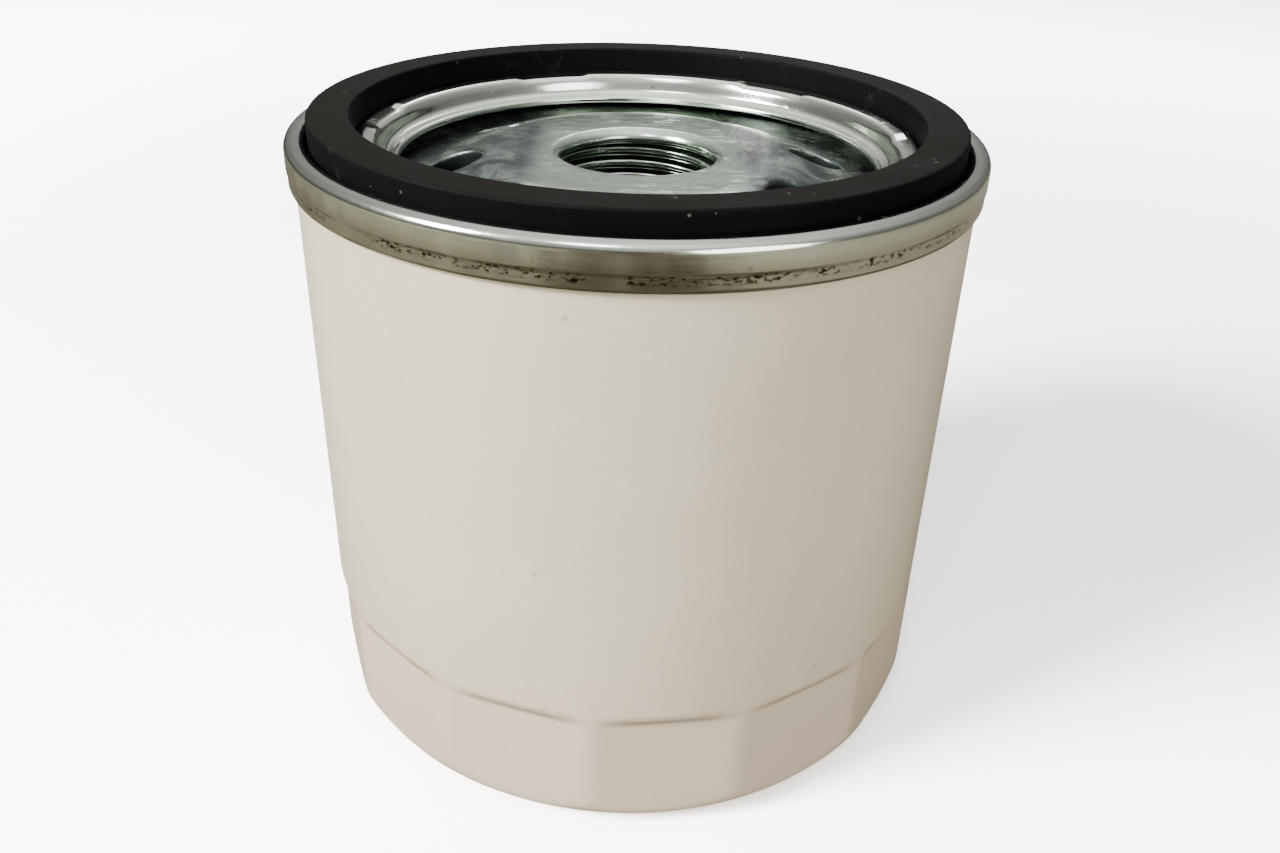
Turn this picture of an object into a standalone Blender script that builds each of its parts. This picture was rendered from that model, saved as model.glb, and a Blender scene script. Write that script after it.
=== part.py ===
import math

import bmesh
import bpy
from mathutils import Matrix

# Spin-on oil filter, standing on its closed end with the gasket up. Metres, +Z up, the axis is the Z axis,
# and z = 0 is the flat ring of the closed end.

# Clearances
GAP = 0.0003  # between pieces that touch
HUB_CLEARANCE = 0.0006  # between the hub and the end cap that slips over it

# Can
OVERALL_HEIGHT = 0.0725  # closed end to the gasket's sealing face
CAN_RADIUS = 0.0377
CAN_WALL = 0.0005
CAN_CORNER_RADIUS = 0.0050
CAN_DISH_RADIUS = 0.0130
CAN_DISH_DEPTH = 0.0008
FLUTE_COUNT = 14
FLUTE_TOP = 0.0162  # height of the shoulder above the flats
FLUTE_CORNER_PROUD = 0.0003  # how far the corners between flats stand outside the can's wall
FLUTE_SHOULDER = 0.0008
FLUTE_PHASE = math.radians(7.5)

# Gasket and the lid that is seamed to the can
GASKET_WIDTH = 0.00455
GASKET_HEIGHT = 0.0062
GASKET_ROUND = 0.0003
LID_SHEET = 0.0006
LID_RING_WIDTH = 0.00465  # from the gasket's bore in to the lid's hole
LID_RIDGE_BELOW_SEAL = 0.0028
LID_HOLE_BELOW_SEAL = 0.0053
SEAM_CLEARANCE = 0.0002  # between the can and the seam's outer leg
SEAM_TOP_BELOW_SEAL = 0.0020
SEAM_BOTTOM_BELOW_SEAL = 0.0068
SEALANT_WIDTH = 0.0004
SEALANT_HEIGHT = 0.0005

# Base plate
PLATE_THICKNESS = 0.0030
DOME_RISE = 0.0024
DOME_FOOT_INSIDE_LID_HOLE = 0.0019
SLOPE_WIDTH = 0.0073
BORE_RADIUS = 0.00875  # the thread's crests
BORE_LIP = 0.0009
HUB_WALL = 0.00285
HUB_LENGTH = 0.0115
HUB_FILLET = 0.0010
INLET_COUNT = 8
INLET_RADIUS = 0.0031
INLET_INSIDE_DOME_FOOT = 0.00425
INLET_PHASE = math.radians(8.6)

# Anti-drain-back valve
VALVE_TRAVEL = 0.0008
VALVE_COLLAR_HEIGHT = 0.0037
VALVE_COLLAR_WIDTH = 0.0043
VALVE_SKIRT = 0.0011
VALVE_LIP_OVERLAP = 0.0032  # past the dome's foot
VALVE_DROOP = 0.0008

# Element
END_CAP_SHEET = 0.0005
END_CAP_RIM = 0.0045
END_CAP_INSIDE_CAN = 0.0037  # flow gap between the element and the can
BOSS_RISE = 0.0019
ADHESIVE_DEPTH = 0.0015
TUBE_CLEARANCE = 0.0018  # the hub reaches a little way into the tube
TUBE_WALL = 0.0006
TUBE_HOLE_RADIUS = 0.0024
TUBE_HOLE_ROWS = 3
TUBE_HOLES_ROUND = 8
PLEAT_COUNT = 36
PAPER = 0.00055
MEDIA_INSIDE_RIM = 0.0012
FOLD_OUTER = 0.0010  # width of a pleat's outer fold
FOLD_INNER = 0.0009
CLIP_SHEET = 0.0003
CLIP_DEPTH = 0.0035

# Support spring under the element
SPRING_HEIGHT = 0.0076
SPRING_RADIUS = 0.0190
SPRING_WIRE = 0.0016
SPRING_TURNS = 2.5
SPRING_SEAT_SHEET = 0.0006
SPRING_SEAT_WIDTH = 0.0057
SPRING_SEAT_LIP = 0.0019

# Bypass valve in the element's closed end
PORT_CLEARANCE = 0.0018  # port to the poppet's boss, where the oil passes
NECK_RADIUS = 0.0092
NECK_WALL = 0.0008
NECK_LENGTH = 0.0022
SEAT_SHEET = 0.0008
SEAT_INSIDE_TUBE = 0.0006
SEAL_INSIDE_DISC = 0.0007
SEAL_OVERLAP = 0.0019  # seal past the port's edge
SEAL_THICKNESS = 0.0010
POPPET_DISC = 0.0010
STEM_RADIUS = 0.0018
STEM_PAST_CAGE = 0.0025
BYPASS_SPRING_HEIGHT = 0.0100
BYPASS_SPRING_INSIDE_DISC = 0.0030  # disc's edge to the spring's mean line
BYPASS_SPRING_WIRE = 0.0009
BYPASS_SPRING_TURNS = 5
CAGE_SHEET = 0.0006
CAGE_WALL_CLEARANCE = 0.0016  # to the poppet's disc
CAGE_FLANGE = 0.0020
CAGE_WINDOWS = 3
CAGE_WINDOW_WIDTH = 0.0110

# Facets
ROUND_CAN = 4 * FLUTE_COUNT
ROUND_LARGE = 48
ROUND_SMALL = 28
ROUND_TINY = 20

# Heights worked out from the sealing face down
GASKET_BOTTOM = OVERALL_HEIGHT - GASKET_HEIGHT
LID_FLOOR = GASKET_BOTTOM - GAP
PLATE_TOP = LID_FLOOR - LID_SHEET - GAP
PLATE_BOTTOM = PLATE_TOP - PLATE_THICKNESS
DOME_TOP = PLATE_TOP + DOME_RISE
DOME_BOTTOM = DOME_TOP - PLATE_THICKNESS
HUB_BOTTOM = DOME_TOP - HUB_LENGTH
COLLAR_TOP = DOME_BOTTOM - GAP
COLLAR_BOTTOM = COLLAR_TOP - VALVE_COLLAR_HEIGHT
LIP_TOP = PLATE_BOTTOM - GAP
BOSS_TOP = COLLAR_BOTTOM - VALVE_TRAVEL - GAP
TOP_CAP_TOP = BOSS_TOP - BOSS_RISE
TOP_CAP_BOTTOM = TOP_CAP_TOP - END_CAP_SHEET
TOP_ADHESIVE_TOP = TOP_CAP_BOTTOM - GAP
MEDIA_TOP = TOP_ADHESIVE_TOP - ADHESIVE_DEPTH - GAP
SEAM_TOP = OVERALL_HEIGHT - SEAM_TOP_BELOW_SEAL
SEAM_BOTTOM = OVERALL_HEIGHT - SEAM_BOTTOM_BELOW_SEAL
SEALANT_TOP = SEAM_TOP - LID_SHEET - GAP
CAN_TOP = SEALANT_TOP - SEALANT_HEIGHT - GAP

# Heights worked out from the closed end up
SPRING_BOTTOM = CAN_WALL + GAP
SPRING_TOP = SPRING_BOTTOM + SPRING_HEIGHT
SPRING_SEAT_BOTTOM = SPRING_TOP + GAP
SPRING_SEAT_TOP = SPRING_SEAT_BOTTOM + SPRING_SEAT_SHEET
BOTTOM_CAP_BOTTOM = SPRING_SEAT_TOP + GAP
BOTTOM_CAP_TOP = BOTTOM_CAP_BOTTOM + END_CAP_SHEET
BOTTOM_ADHESIVE_BOTTOM = BOTTOM_CAP_TOP + GAP
MEDIA_BOTTOM = BOTTOM_ADHESIVE_BOTTOM + ADHESIVE_DEPTH + GAP
SEAT_BOTTOM = BOTTOM_CAP_TOP + GAP
SEAT_TOP = SEAT_BOTTOM + SEAT_SHEET
SEAL_BOTTOM = SEAT_TOP + GAP
SEAL_TOP = SEAL_BOTTOM + SEAL_THICKNESS
DISC_BOTTOM = SEAL_TOP + GAP
DISC_TOP = DISC_BOTTOM + POPPET_DISC
BYPASS_SPRING_BOTTOM = DISC_TOP + GAP
BYPASS_SPRING_TOP = BYPASS_SPRING_BOTTOM + BYPASS_SPRING_HEIGHT
CAGE_TOP = BYPASS_SPRING_TOP + GAP + CAGE_SHEET
CAGE_BASE_TOP = SEAL_BOTTOM + CAGE_SHEET

# Radii
CAN_BORE = CAN_RADIUS - CAN_WALL
CHANNEL_OUTER = CAN_BORE - GAP - LID_SHEET
GASKET_OUTER = CHANNEL_OUTER - GAP
GASKET_INNER = GASKET_OUTER - GASKET_WIDTH
CHANNEL_INNER = GASKET_INNER - GAP
LID_HOLE = GASKET_INNER - LID_RING_WIDTH
SEAM_RADIUS = CAN_RADIUS + SEAM_CLEARANCE + LID_SHEET
PLATE_RADIUS = CAN_BORE - 2 * GAP - CAN_WALL
DOME_FOOT = LID_HOLE - DOME_FOOT_INSIDE_LID_HOLE
DOME_EDGE = DOME_FOOT - SLOPE_WIDTH
HUB_RADIUS = BORE_RADIUS + HUB_WALL
COLLAR_BORE = HUB_RADIUS + GAP
COLLAR_RADIUS = COLLAR_BORE + VALVE_COLLAR_WIDTH
CAP_BORE = HUB_RADIUS + HUB_CLEARANCE
CAP_RADIUS = CAN_BORE - END_CAP_INSIDE_CAN
RIM_BORE = CAP_RADIUS - END_CAP_SHEET
MEDIA_OUTER = RIM_BORE - MEDIA_INSIDE_RIM
TUBE_BORE = HUB_RADIUS + TUBE_CLEARANCE
TUBE_RADIUS = TUBE_BORE + TUBE_WALL
MEDIA_INNER = TUBE_RADIUS + 3 * GAP
SEAT_RADIUS = TUBE_BORE - SEAT_INSIDE_TUBE
CAGE_RADIUS = SEAT_RADIUS - CAGE_FLANGE
POPPET_RADIUS = CAGE_RADIUS - CAGE_SHEET - CAGE_WALL_CLEARANCE
SEAL_OUTER = POPPET_RADIUS - SEAL_INSIDE_DISC
PORT_RADIUS = SEAL_OUTER - SEAL_OVERLAP
POPPET_BOSS_RADIUS = PORT_RADIUS - PORT_CLEARANCE
SEAL_INNER = POPPET_BOSS_RADIUS + GAP
BYPASS_SPRING_RADIUS = POPPET_RADIUS - BYPASS_SPRING_INSIDE_DISC


def new_collection(name):
    collection = bpy.data.collections.new(name)
    bpy.context.scene.collection.children.link(collection)
    return collection


def clear_scene():
    for obj in list(bpy.data.objects):
        bpy.data.objects.remove(obj)


def material(name, colour, roughness, metallic):
    made = bpy.data.materials.new(name)
    made.use_nodes = True
    shader = made.node_tree.nodes["Principled BSDF"]
    shader.inputs["Base Color"].default_value = (*colour, 1.0)
    shader.inputs["Roughness"].default_value = roughness
    shader.inputs["Metallic"].default_value = metallic
    return made


def place(obj, finish, parent, collection):
    collection.objects.link(obj)
    obj.data.materials.append(finish)
    obj.parent = parent
    return obj


def arc(centre_r, centre_z, radius, start, end, steps):
    """Points of a profile's arc, with its angles in degrees."""
    points = []
    for step in range(steps + 1):
        angle = math.radians(start + (end - start) * step / steps)
        points.append((centre_r + radius * math.cos(angle), centre_z + radius * math.sin(angle)))
    return points


def turned(name, profile, steps, wall=0.0, loop=True):
    """A profile of (radius, height) turned round Z: a loop, a line from axis to axis, or a sheet."""
    mesh = bpy.data.meshes.new(name)
    edges = [(index, index + 1) for index in range(len(profile) - 1)]
    if loop and not wall:
        edges.append((len(profile) - 1, 0))
    mesh.from_pydata([(radius, 0.0, height) for radius, height in profile], edges, [])
    obj = bpy.data.objects.new(name, mesh)
    screw = obj.modifiers.new("Turn", "SCREW")
    screw.axis = "Z"
    screw.angle = math.tau
    screw.steps = steps
    screw.render_steps = steps
    screw.use_merge_vertices = True
    screw.merge_threshold = 0.00001
    screw.use_smooth_shade = True
    if wall:
        sheet = obj.modifiers.new("Sheet", "SOLIDIFY")
        sheet.thickness = wall
        sheet.offset = -1.0
        sheet.use_even_offset = True
    return obj


def cutter(name, shapes, collection):
    """One hidden mesh made of several cylinders or boxes, each given by its size and matrix."""
    built = bmesh.new()
    for kind, size, matrix in shapes:
        if kind == "cylinder":
            radius, depth, sides = size
            bmesh.ops.create_cone(
                built,
                cap_ends=True,
                segments=sides,
                radius1=radius,
                radius2=radius,
                depth=depth,
                matrix=matrix,
            )
        else:
            made = bmesh.ops.create_cube(built, size=1.0)
            bmesh.ops.scale(built, vec=size, verts=made["verts"])
            bmesh.ops.transform(built, matrix=matrix, verts=made["verts"])
    mesh = bpy.data.meshes.new(name)
    built.to_mesh(mesh)
    built.free()
    obj = bpy.data.objects.new(name, mesh)
    obj.hide_render = True
    obj.display_type = "WIRE"
    collection.objects.link(obj)
    return obj


def cut(obj, tool):
    boolean = obj.modifiers.new(tool.name, "BOOLEAN")
    boolean.operation = "DIFFERENCE"
    boolean.solver = "EXACT"
    boolean.object = tool


def around(angle, radius, height):
    """A matrix at this angle, radius and height, whose X axis points outwards."""
    turn = Matrix.Rotation(angle, 4, "Z")
    return turn @ Matrix.Translation((radius, 0.0, height))


def coil(name, radius, wire, bottom, top, turns, points_a_turn, ease):
    """A compression spring whose end turns lie flatter than the middle ones."""
    curve = bpy.data.curves.new(name, "CURVE")
    curve.dimensions = "3D"
    curve.bevel_depth = wire / 2
    curve.bevel_resolution = 2
    curve.use_fill_caps = True
    count = int(turns * points_a_turn) + 1
    spline = curve.splines.new("POLY")
    spline.points.add(count - 1)
    low = bottom + wire / 2
    rise = top - bottom - wire
    for index, point in enumerate(spline.points):
        share = index / (count - 1)
        angle = math.tau * turns * share
        climb = share - ease * math.sin(math.tau * share) / math.tau
        point.co = (radius * math.cos(angle), radius * math.sin(angle), low + rise * climb, 1.0)
    return bpy.data.objects.new(name, curve)


def flute_radius(angle):
    """How far out the flats stand at this angle: proud of the wall at a corner, sunk between corners."""
    pitch = math.tau / FLUTE_COUNT
    from_middle = (angle - FLUTE_PHASE) % pitch - pitch / 2
    return (CAN_RADIUS + FLUTE_CORNER_PROUD) * math.cos(pitch / 2) / math.cos(from_middle)


def make_can():
    """The drawn can: rings from the seam down to the closed end, the lower ones pressed into flats."""
    corner = arc(CAN_RADIUS - CAN_CORNER_RADIUS, CAN_CORNER_RADIUS, CAN_CORNER_RADIUS, 0, -90, 4)
    rings = [(CAN_RADIUS, CAN_TOP, False), (CAN_RADIUS, FLUTE_TOP + FLUTE_SHOULDER / 2, False)]
    rings.append((CAN_RADIUS, FLUTE_TOP - FLUTE_SHOULDER / 2, True))
    rings += [(radius, height, True) for radius, height in corner]
    rings.append((CAN_DISH_RADIUS + CAN_DISH_DEPTH, 0.0, False))
    rings.append((CAN_DISH_RADIUS, CAN_DISH_DEPTH, False))
    built = bmesh.new()
    rows = []
    for radius, height, fluted in rings:
        row = []
        for step in range(ROUND_CAN):
            angle = FLUTE_PHASE + math.tau * step / ROUND_CAN
            reach = min(radius + FLUTE_CORNER_PROUD, flute_radius(angle)) if fluted else radius
            row.append(built.verts.new((reach * math.cos(angle), reach * math.sin(angle), height)))
        rows.append(row)
    for upper, lower in zip(rows, rows[1:]):
        for step in range(ROUND_CAN):
            after = (step + 1) % ROUND_CAN
            built.faces.new((upper[step], lower[step], lower[after], upper[after]))
    built.faces.new(reversed(rows[-1]))
    mesh = bpy.data.meshes.new("can")
    built.to_mesh(mesh)
    built.free()
    mesh.shade_smooth()
    obj = bpy.data.objects.new("can", mesh)
    sheet = obj.modifiers.new("Sheet", "SOLIDIFY")
    sheet.thickness = CAN_WALL
    sheet.offset = -1.0
    sheet.use_even_offset = True
    return obj


def make_gasket():
    corners = (
        (GASKET_INNER, OVERALL_HEIGHT, 180, 90),
        (GASKET_OUTER, OVERALL_HEIGHT, 90, 0),
        (GASKET_OUTER, GASKET_BOTTOM, 0, -90),
        (GASKET_INNER, GASKET_BOTTOM, -90, -180),
    )
    profile = []
    for radius, height, start, end in corners:
        inward_r = GASKET_ROUND if radius == GASKET_INNER else -GASKET_ROUND
        inward_z = GASKET_ROUND if height == GASKET_BOTTOM else -GASKET_ROUND
        profile += arc(radius + inward_r, height + inward_z, GASKET_ROUND, start, end, 1)
    return turned("sealing_gasket", profile, ROUND_LARGE)


def make_lid():
    """The thin lid's upper face: hole edge, ridge, gasket channel, then the seam's bead and outer leg."""
    hole_z = OVERALL_HEIGHT - LID_HOLE_BELOW_SEAL
    ridge_z = OVERALL_HEIGHT - LID_RIDGE_BELOW_SEAL
    bend = 0.75 * LID_SHEET
    bead = (SEAM_RADIUS - CHANNEL_OUTER) / 2
    profile = [(LID_HOLE, hole_z - bend), (LID_HOLE + bend, hole_z)]
    profile += [(CHANNEL_INNER - 2 * bend, ridge_z - bend / 2), (CHANNEL_INNER - bend, ridge_z)]
    profile += [(CHANNEL_INNER, ridge_z - bend), (CHANNEL_INNER, LID_FLOOR), (CHANNEL_OUTER, LID_FLOOR)]
    profile += arc(CHANNEL_OUTER + bead, SEAM_TOP - bead, bead, 180, 0, 4)
    profile += [(SEAM_RADIUS, SEAM_BOTTOM)]
    return turned("seaming_lid", profile, ROUND_LARGE, wall=LID_SHEET)


def make_sealant():
    middle = (CAN_RADIUS + CAN_BORE) / 2
    inner = middle - SEALANT_WIDTH / 2
    outer = middle + SEALANT_WIDTH / 2
    bottom = SEALANT_TOP - SEALANT_HEIGHT
    profile = [(inner, SEALANT_TOP), (outer, SEALANT_TOP), (outer, bottom), (inner, bottom)]
    return turned("seam_sealant", profile, ROUND_LARGE)


def make_plate(cutters):
    """The thick tapped plate: rim, slope with the inlet holes, raised centre, and the threaded hub."""
    back = PLATE_THICKNESS * math.tan(math.atan2(DOME_RISE, SLOPE_WIDTH) / 2)
    profile = arc(BORE_RADIUS + BORE_LIP, DOME_TOP - BORE_LIP, BORE_LIP, 180, 90, 3)
    profile += [(DOME_EDGE, DOME_TOP), (DOME_FOOT, PLATE_TOP), (PLATE_RADIUS, PLATE_TOP)]
    profile += [(PLATE_RADIUS, PLATE_BOTTOM), (DOME_FOOT - back, PLATE_BOTTOM)]
    profile += [(DOME_EDGE - back, DOME_BOTTOM), (HUB_RADIUS + HUB_FILLET, DOME_BOTTOM)]
    profile += [(HUB_RADIUS, DOME_BOTTOM - HUB_FILLET), (HUB_RADIUS, HUB_BOTTOM)]
    profile += [(BORE_RADIUS, HUB_BOTTOM)]
    plate = turned("base_plate", profile, ROUND_LARGE)
    depth = 3 * (DOME_RISE + PLATE_THICKNESS)
    shapes = []
    for index in range(INLET_COUNT):
        angle = INLET_PHASE + math.tau * index / INLET_COUNT
        matrix = around(angle, DOME_FOOT - INLET_INSIDE_DOME_FOOT, PLATE_TOP)
        shapes.append(("cylinder", (INLET_RADIUS, depth, 12), matrix))
    cut(plate, cutter("inlet_cutters", shapes, cutters))
    return plate


def make_drain_valve():
    """The rubber diaphragm: a thick collar round the hub and a thin skirt that closes on the plate."""
    lip = DOME_FOOT + VALVE_LIP_OVERLAP
    low = LIP_TOP - VALVE_DROOP
    shoulder = COLLAR_BOTTOM + VALVE_SKIRT
    profile = [(COLLAR_BORE, COLLAR_TOP - HUB_FILLET), (COLLAR_BORE + HUB_FILLET, COLLAR_TOP)]
    profile += [(COLLAR_RADIUS, COLLAR_TOP), (COLLAR_RADIUS, shoulder)]
    profile += [(DOME_FOOT, low), (lip - VALVE_SKIRT, LIP_TOP), (lip, LIP_TOP)]
    profile += [(lip, LIP_TOP - VALVE_SKIRT / 2), (DOME_FOOT, low - VALVE_SKIRT)]
    profile += [(COLLAR_RADIUS, COLLAR_BOTTOM), (COLLAR_BORE, COLLAR_BOTTOM)]
    return turned("anti_drain_valve", profile, ROUND_SMALL)


def make_top_cap():
    """The element's open end cap, whose raised boss carries the diaphragm's collar."""
    profile = [(CAP_BORE, BOSS_TOP), (COLLAR_RADIUS, BOSS_TOP), (COLLAR_RADIUS + BOSS_RISE, TOP_CAP_TOP)]
    profile += arc(CAP_RADIUS - END_CAP_SHEET, TOP_CAP_TOP - END_CAP_SHEET, END_CAP_SHEET, 90, 0, 1)
    profile += [(CAP_RADIUS, TOP_CAP_TOP - END_CAP_RIM)]
    return turned("top_end_cap", profile, ROUND_SMALL, wall=END_CAP_SHEET)


def make_bottom_cap():
    profile = [(CAP_RADIUS, BOTTOM_CAP_BOTTOM + END_CAP_RIM)]
    corner_z = BOTTOM_CAP_BOTTOM + END_CAP_SHEET
    profile += arc(CAP_RADIUS - END_CAP_SHEET, corner_z, END_CAP_SHEET, 0, -90, 1)
    profile += [(NECK_RADIUS + GAP, BOTTOM_CAP_BOTTOM)]
    return turned("bottom_end_cap", profile, ROUND_SMALL, wall=END_CAP_SHEET)


def make_adhesive(name, bottom):
    inner = TUBE_RADIUS + GAP
    outer = RIM_BORE - 2 * GAP
    top = bottom + ADHESIVE_DEPTH
    profile = [(inner, top), (outer, top), (outer, bottom), (inner, bottom)]
    return turned(name, profile, ROUND_SMALL)


def pleat_outlines():
    """The two outlines of the pleated paper: its middle line, moved half a thickness to each side."""
    middle = []
    outer = MEDIA_OUTER - PAPER / 2
    inner = MEDIA_INNER + PAPER / 2
    for index in range(PLEAT_COUNT):
        tip = math.tau * index / PLEAT_COUNT
        valley = math.tau * (index + 0.5) / PLEAT_COUNT
        for angle, radius, fold in ((tip, outer, FOLD_OUTER), (valley, inner, FOLD_INNER)):
            half = fold / 2 / radius
            for side in (-half, half):
                middle.append((radius * math.cos(angle + side), radius * math.sin(angle + side)))
    moved = ([], [])
    for index, (x, y) in enumerate(middle):
        before = middle[index - 1]
        after = middle[(index + 1) % len(middle)]
        first = math.atan2(y - before[1], x - before[0])
        second = math.atan2(after[1] - y, after[0] - x)
        turn = (second - first + math.pi) % math.tau - math.pi
        along = first + turn / 2
        reach = PAPER / 2 / math.cos(turn / 2)
        for outline, sign in zip(moved, (1, -1)):
            outline.append((x + sign * reach * math.sin(along), y - sign * reach * math.cos(along)))
    return moved


def make_media():
    """The pleated paper ring, lofted between its two outlines at the bottom and the top."""
    built = bmesh.new()
    outer, inner = pleat_outlines()
    rows = []
    loops = [(outer, MEDIA_BOTTOM), (outer, MEDIA_TOP), (inner, MEDIA_TOP), (inner, MEDIA_BOTTOM)]
    for outline, height in loops:
        rows.append([built.verts.new((x, y, height)) for x, y in outline])
    count = len(outer)
    for row, following in zip(rows, rows[1:] + rows[:1]):
        for step in range(count):
            after = (step + 1) % count
            built.faces.new((row[step], row[after], following[after], following[step]))
    mesh = bpy.data.meshes.new("filter_media")
    built.to_mesh(mesh)
    built.free()
    return bpy.data.objects.new("filter_media", mesh)


def make_clip():
    """The metal strip that grips the paper's two ends over one pleat's outer fold."""
    inside = MEDIA_OUTER + GAP
    outside = inside + CLIP_SHEET
    foot = outside - CLIP_DEPTH
    width = FOLD_OUTER / 2 + PAPER / 2 + 2 * GAP
    outline = [(foot, width), (inside, width), (inside, -width), (foot, -width)]
    outline += [(foot, -width - CLIP_SHEET), (outside, -width - CLIP_SHEET)]
    outline += [(outside, width + CLIP_SHEET), (foot, width + CLIP_SHEET)]
    curve = bpy.data.curves.new("media_clip", "CURVE")
    curve.dimensions = "2D"
    curve.fill_mode = "BOTH"
    curve.extrude = (MEDIA_TOP - MEDIA_BOTTOM) / 2
    spline = curve.splines.new("POLY")
    spline.points.add(len(outline) - 1)
    spline.use_cyclic_u = True
    for point, (x, y) in zip(spline.points, outline):
        point.co = (x, y, 0.0, 1.0)
    obj = bpy.data.objects.new("media_clip", curve)
    obj.location.z = (MEDIA_TOP + MEDIA_BOTTOM) / 2
    return obj


def make_tube(cutters):
    """The perforated tube that the paper leans on."""
    bottom = BOTTOM_ADHESIVE_BOTTOM
    top = TOP_ADHESIVE_TOP
    profile = [(TUBE_BORE, top), (TUBE_RADIUS, top), (TUBE_RADIUS, bottom), (TUBE_BORE, bottom)]
    tube = turned("centre_tube", profile, ROUND_SMALL)
    shapes = []
    pitch = (MEDIA_TOP - MEDIA_BOTTOM) / TUBE_HOLE_ROWS
    for row in range(TUBE_HOLE_ROWS):
        height = MEDIA_BOTTOM + pitch * (row + 0.5)
        for index in range(TUBE_HOLES_ROUND):
            angle = math.tau * (index + 0.5 * (row % 2)) / TUBE_HOLES_ROUND
            matrix = around(angle, TUBE_RADIUS, height) @ Matrix.Rotation(math.pi / 2, 4, "Y")
            shapes.append(("cylinder", (TUBE_HOLE_RADIUS, 6 * TUBE_WALL, 6), matrix))
    cut(tube, cutter("tube_cutters", shapes, cutters))
    return tube


def make_spring_seat():
    """A pressed ring under the element that keeps the support spring centred."""
    outer = SPRING_RADIUS + SPRING_WIRE / 2 + 2 * GAP + SPRING_SEAT_SHEET
    profile = [(outer - SPRING_SEAT_WIDTH, SPRING_SEAT_TOP), (outer, SPRING_SEAT_TOP)]
    profile += [(outer, SPRING_SEAT_BOTTOM - SPRING_SEAT_LIP)]
    return turned("spring_seat", profile, ROUND_SMALL, wall=SPRING_SEAT_SHEET)


def make_bypass_seat():
    neck_bottom = SEAT_BOTTOM - NECK_LENGTH
    profile = [(PORT_RADIUS, SEAT_TOP), (SEAT_RADIUS, SEAT_TOP), (SEAT_RADIUS, SEAT_BOTTOM)]
    profile += [(NECK_RADIUS, SEAT_BOTTOM), (NECK_RADIUS, neck_bottom)]
    profile += [(NECK_RADIUS - NECK_WALL, neck_bottom), (NECK_RADIUS - NECK_WALL, SEAT_BOTTOM)]
    profile += [(PORT_RADIUS, SEAT_BOTTOM)]
    return turned("bypass_seat", profile, ROUND_TINY)


def make_bypass_seal():
    profile = [(SEAL_INNER, SEAL_TOP), (SEAL_OUTER, SEAL_TOP)]
    profile += [(SEAL_OUTER, SEAL_BOTTOM), (SEAL_INNER, SEAL_BOTTOM)]
    return turned("bypass_seal", profile, ROUND_TINY)


def make_poppet():
    """The valve disc, with a guide stem above and a boss below that holds the seal."""
    boss_bottom = SEAT_BOTTOM + GAP
    stem_top = CAGE_TOP + STEM_PAST_CAGE
    chamfer = STEM_RADIUS / 5
    profile = [(0.0, stem_top), (STEM_RADIUS - chamfer, stem_top), (STEM_RADIUS, stem_top - chamfer)]
    profile += [(STEM_RADIUS, DISC_TOP), (POPPET_RADIUS, DISC_TOP), (POPPET_RADIUS, DISC_BOTTOM)]
    profile += [(POPPET_BOSS_RADIUS, DISC_BOTTOM), (POPPET_BOSS_RADIUS, boss_bottom), (0.0, boss_bottom)]
    return turned("bypass_poppet", profile, ROUND_TINY, loop=False)


def make_cage(cutters):
    """The bridge that holds the bypass spring down and guides the stem, with windows for the oil."""
    profile = [(STEM_RADIUS + GAP, CAGE_TOP)]
    profile += arc(CAGE_RADIUS - CAGE_SHEET, CAGE_TOP - CAGE_SHEET, CAGE_SHEET, 90, 0, 1)
    profile += [(CAGE_RADIUS, CAGE_BASE_TOP), (SEAT_RADIUS, CAGE_BASE_TOP)]
    cage = turned("bypass_cage", profile, ROUND_TINY, wall=CAGE_SHEET)
    low = CAGE_BASE_TOP + CAGE_SHEET
    high = CAGE_TOP - 2 * CAGE_SHEET
    size = (6 * CAGE_SHEET, CAGE_WINDOW_WIDTH, high - low)
    shapes = []
    for index in range(CAGE_WINDOWS):
        matrix = around(math.tau * index / CAGE_WINDOWS, CAGE_RADIUS, (low + high) / 2)
        shapes.append(("box", size, matrix))
    cut(cage, cutter("cage_cutters", shapes, cutters))
    return cage


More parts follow.
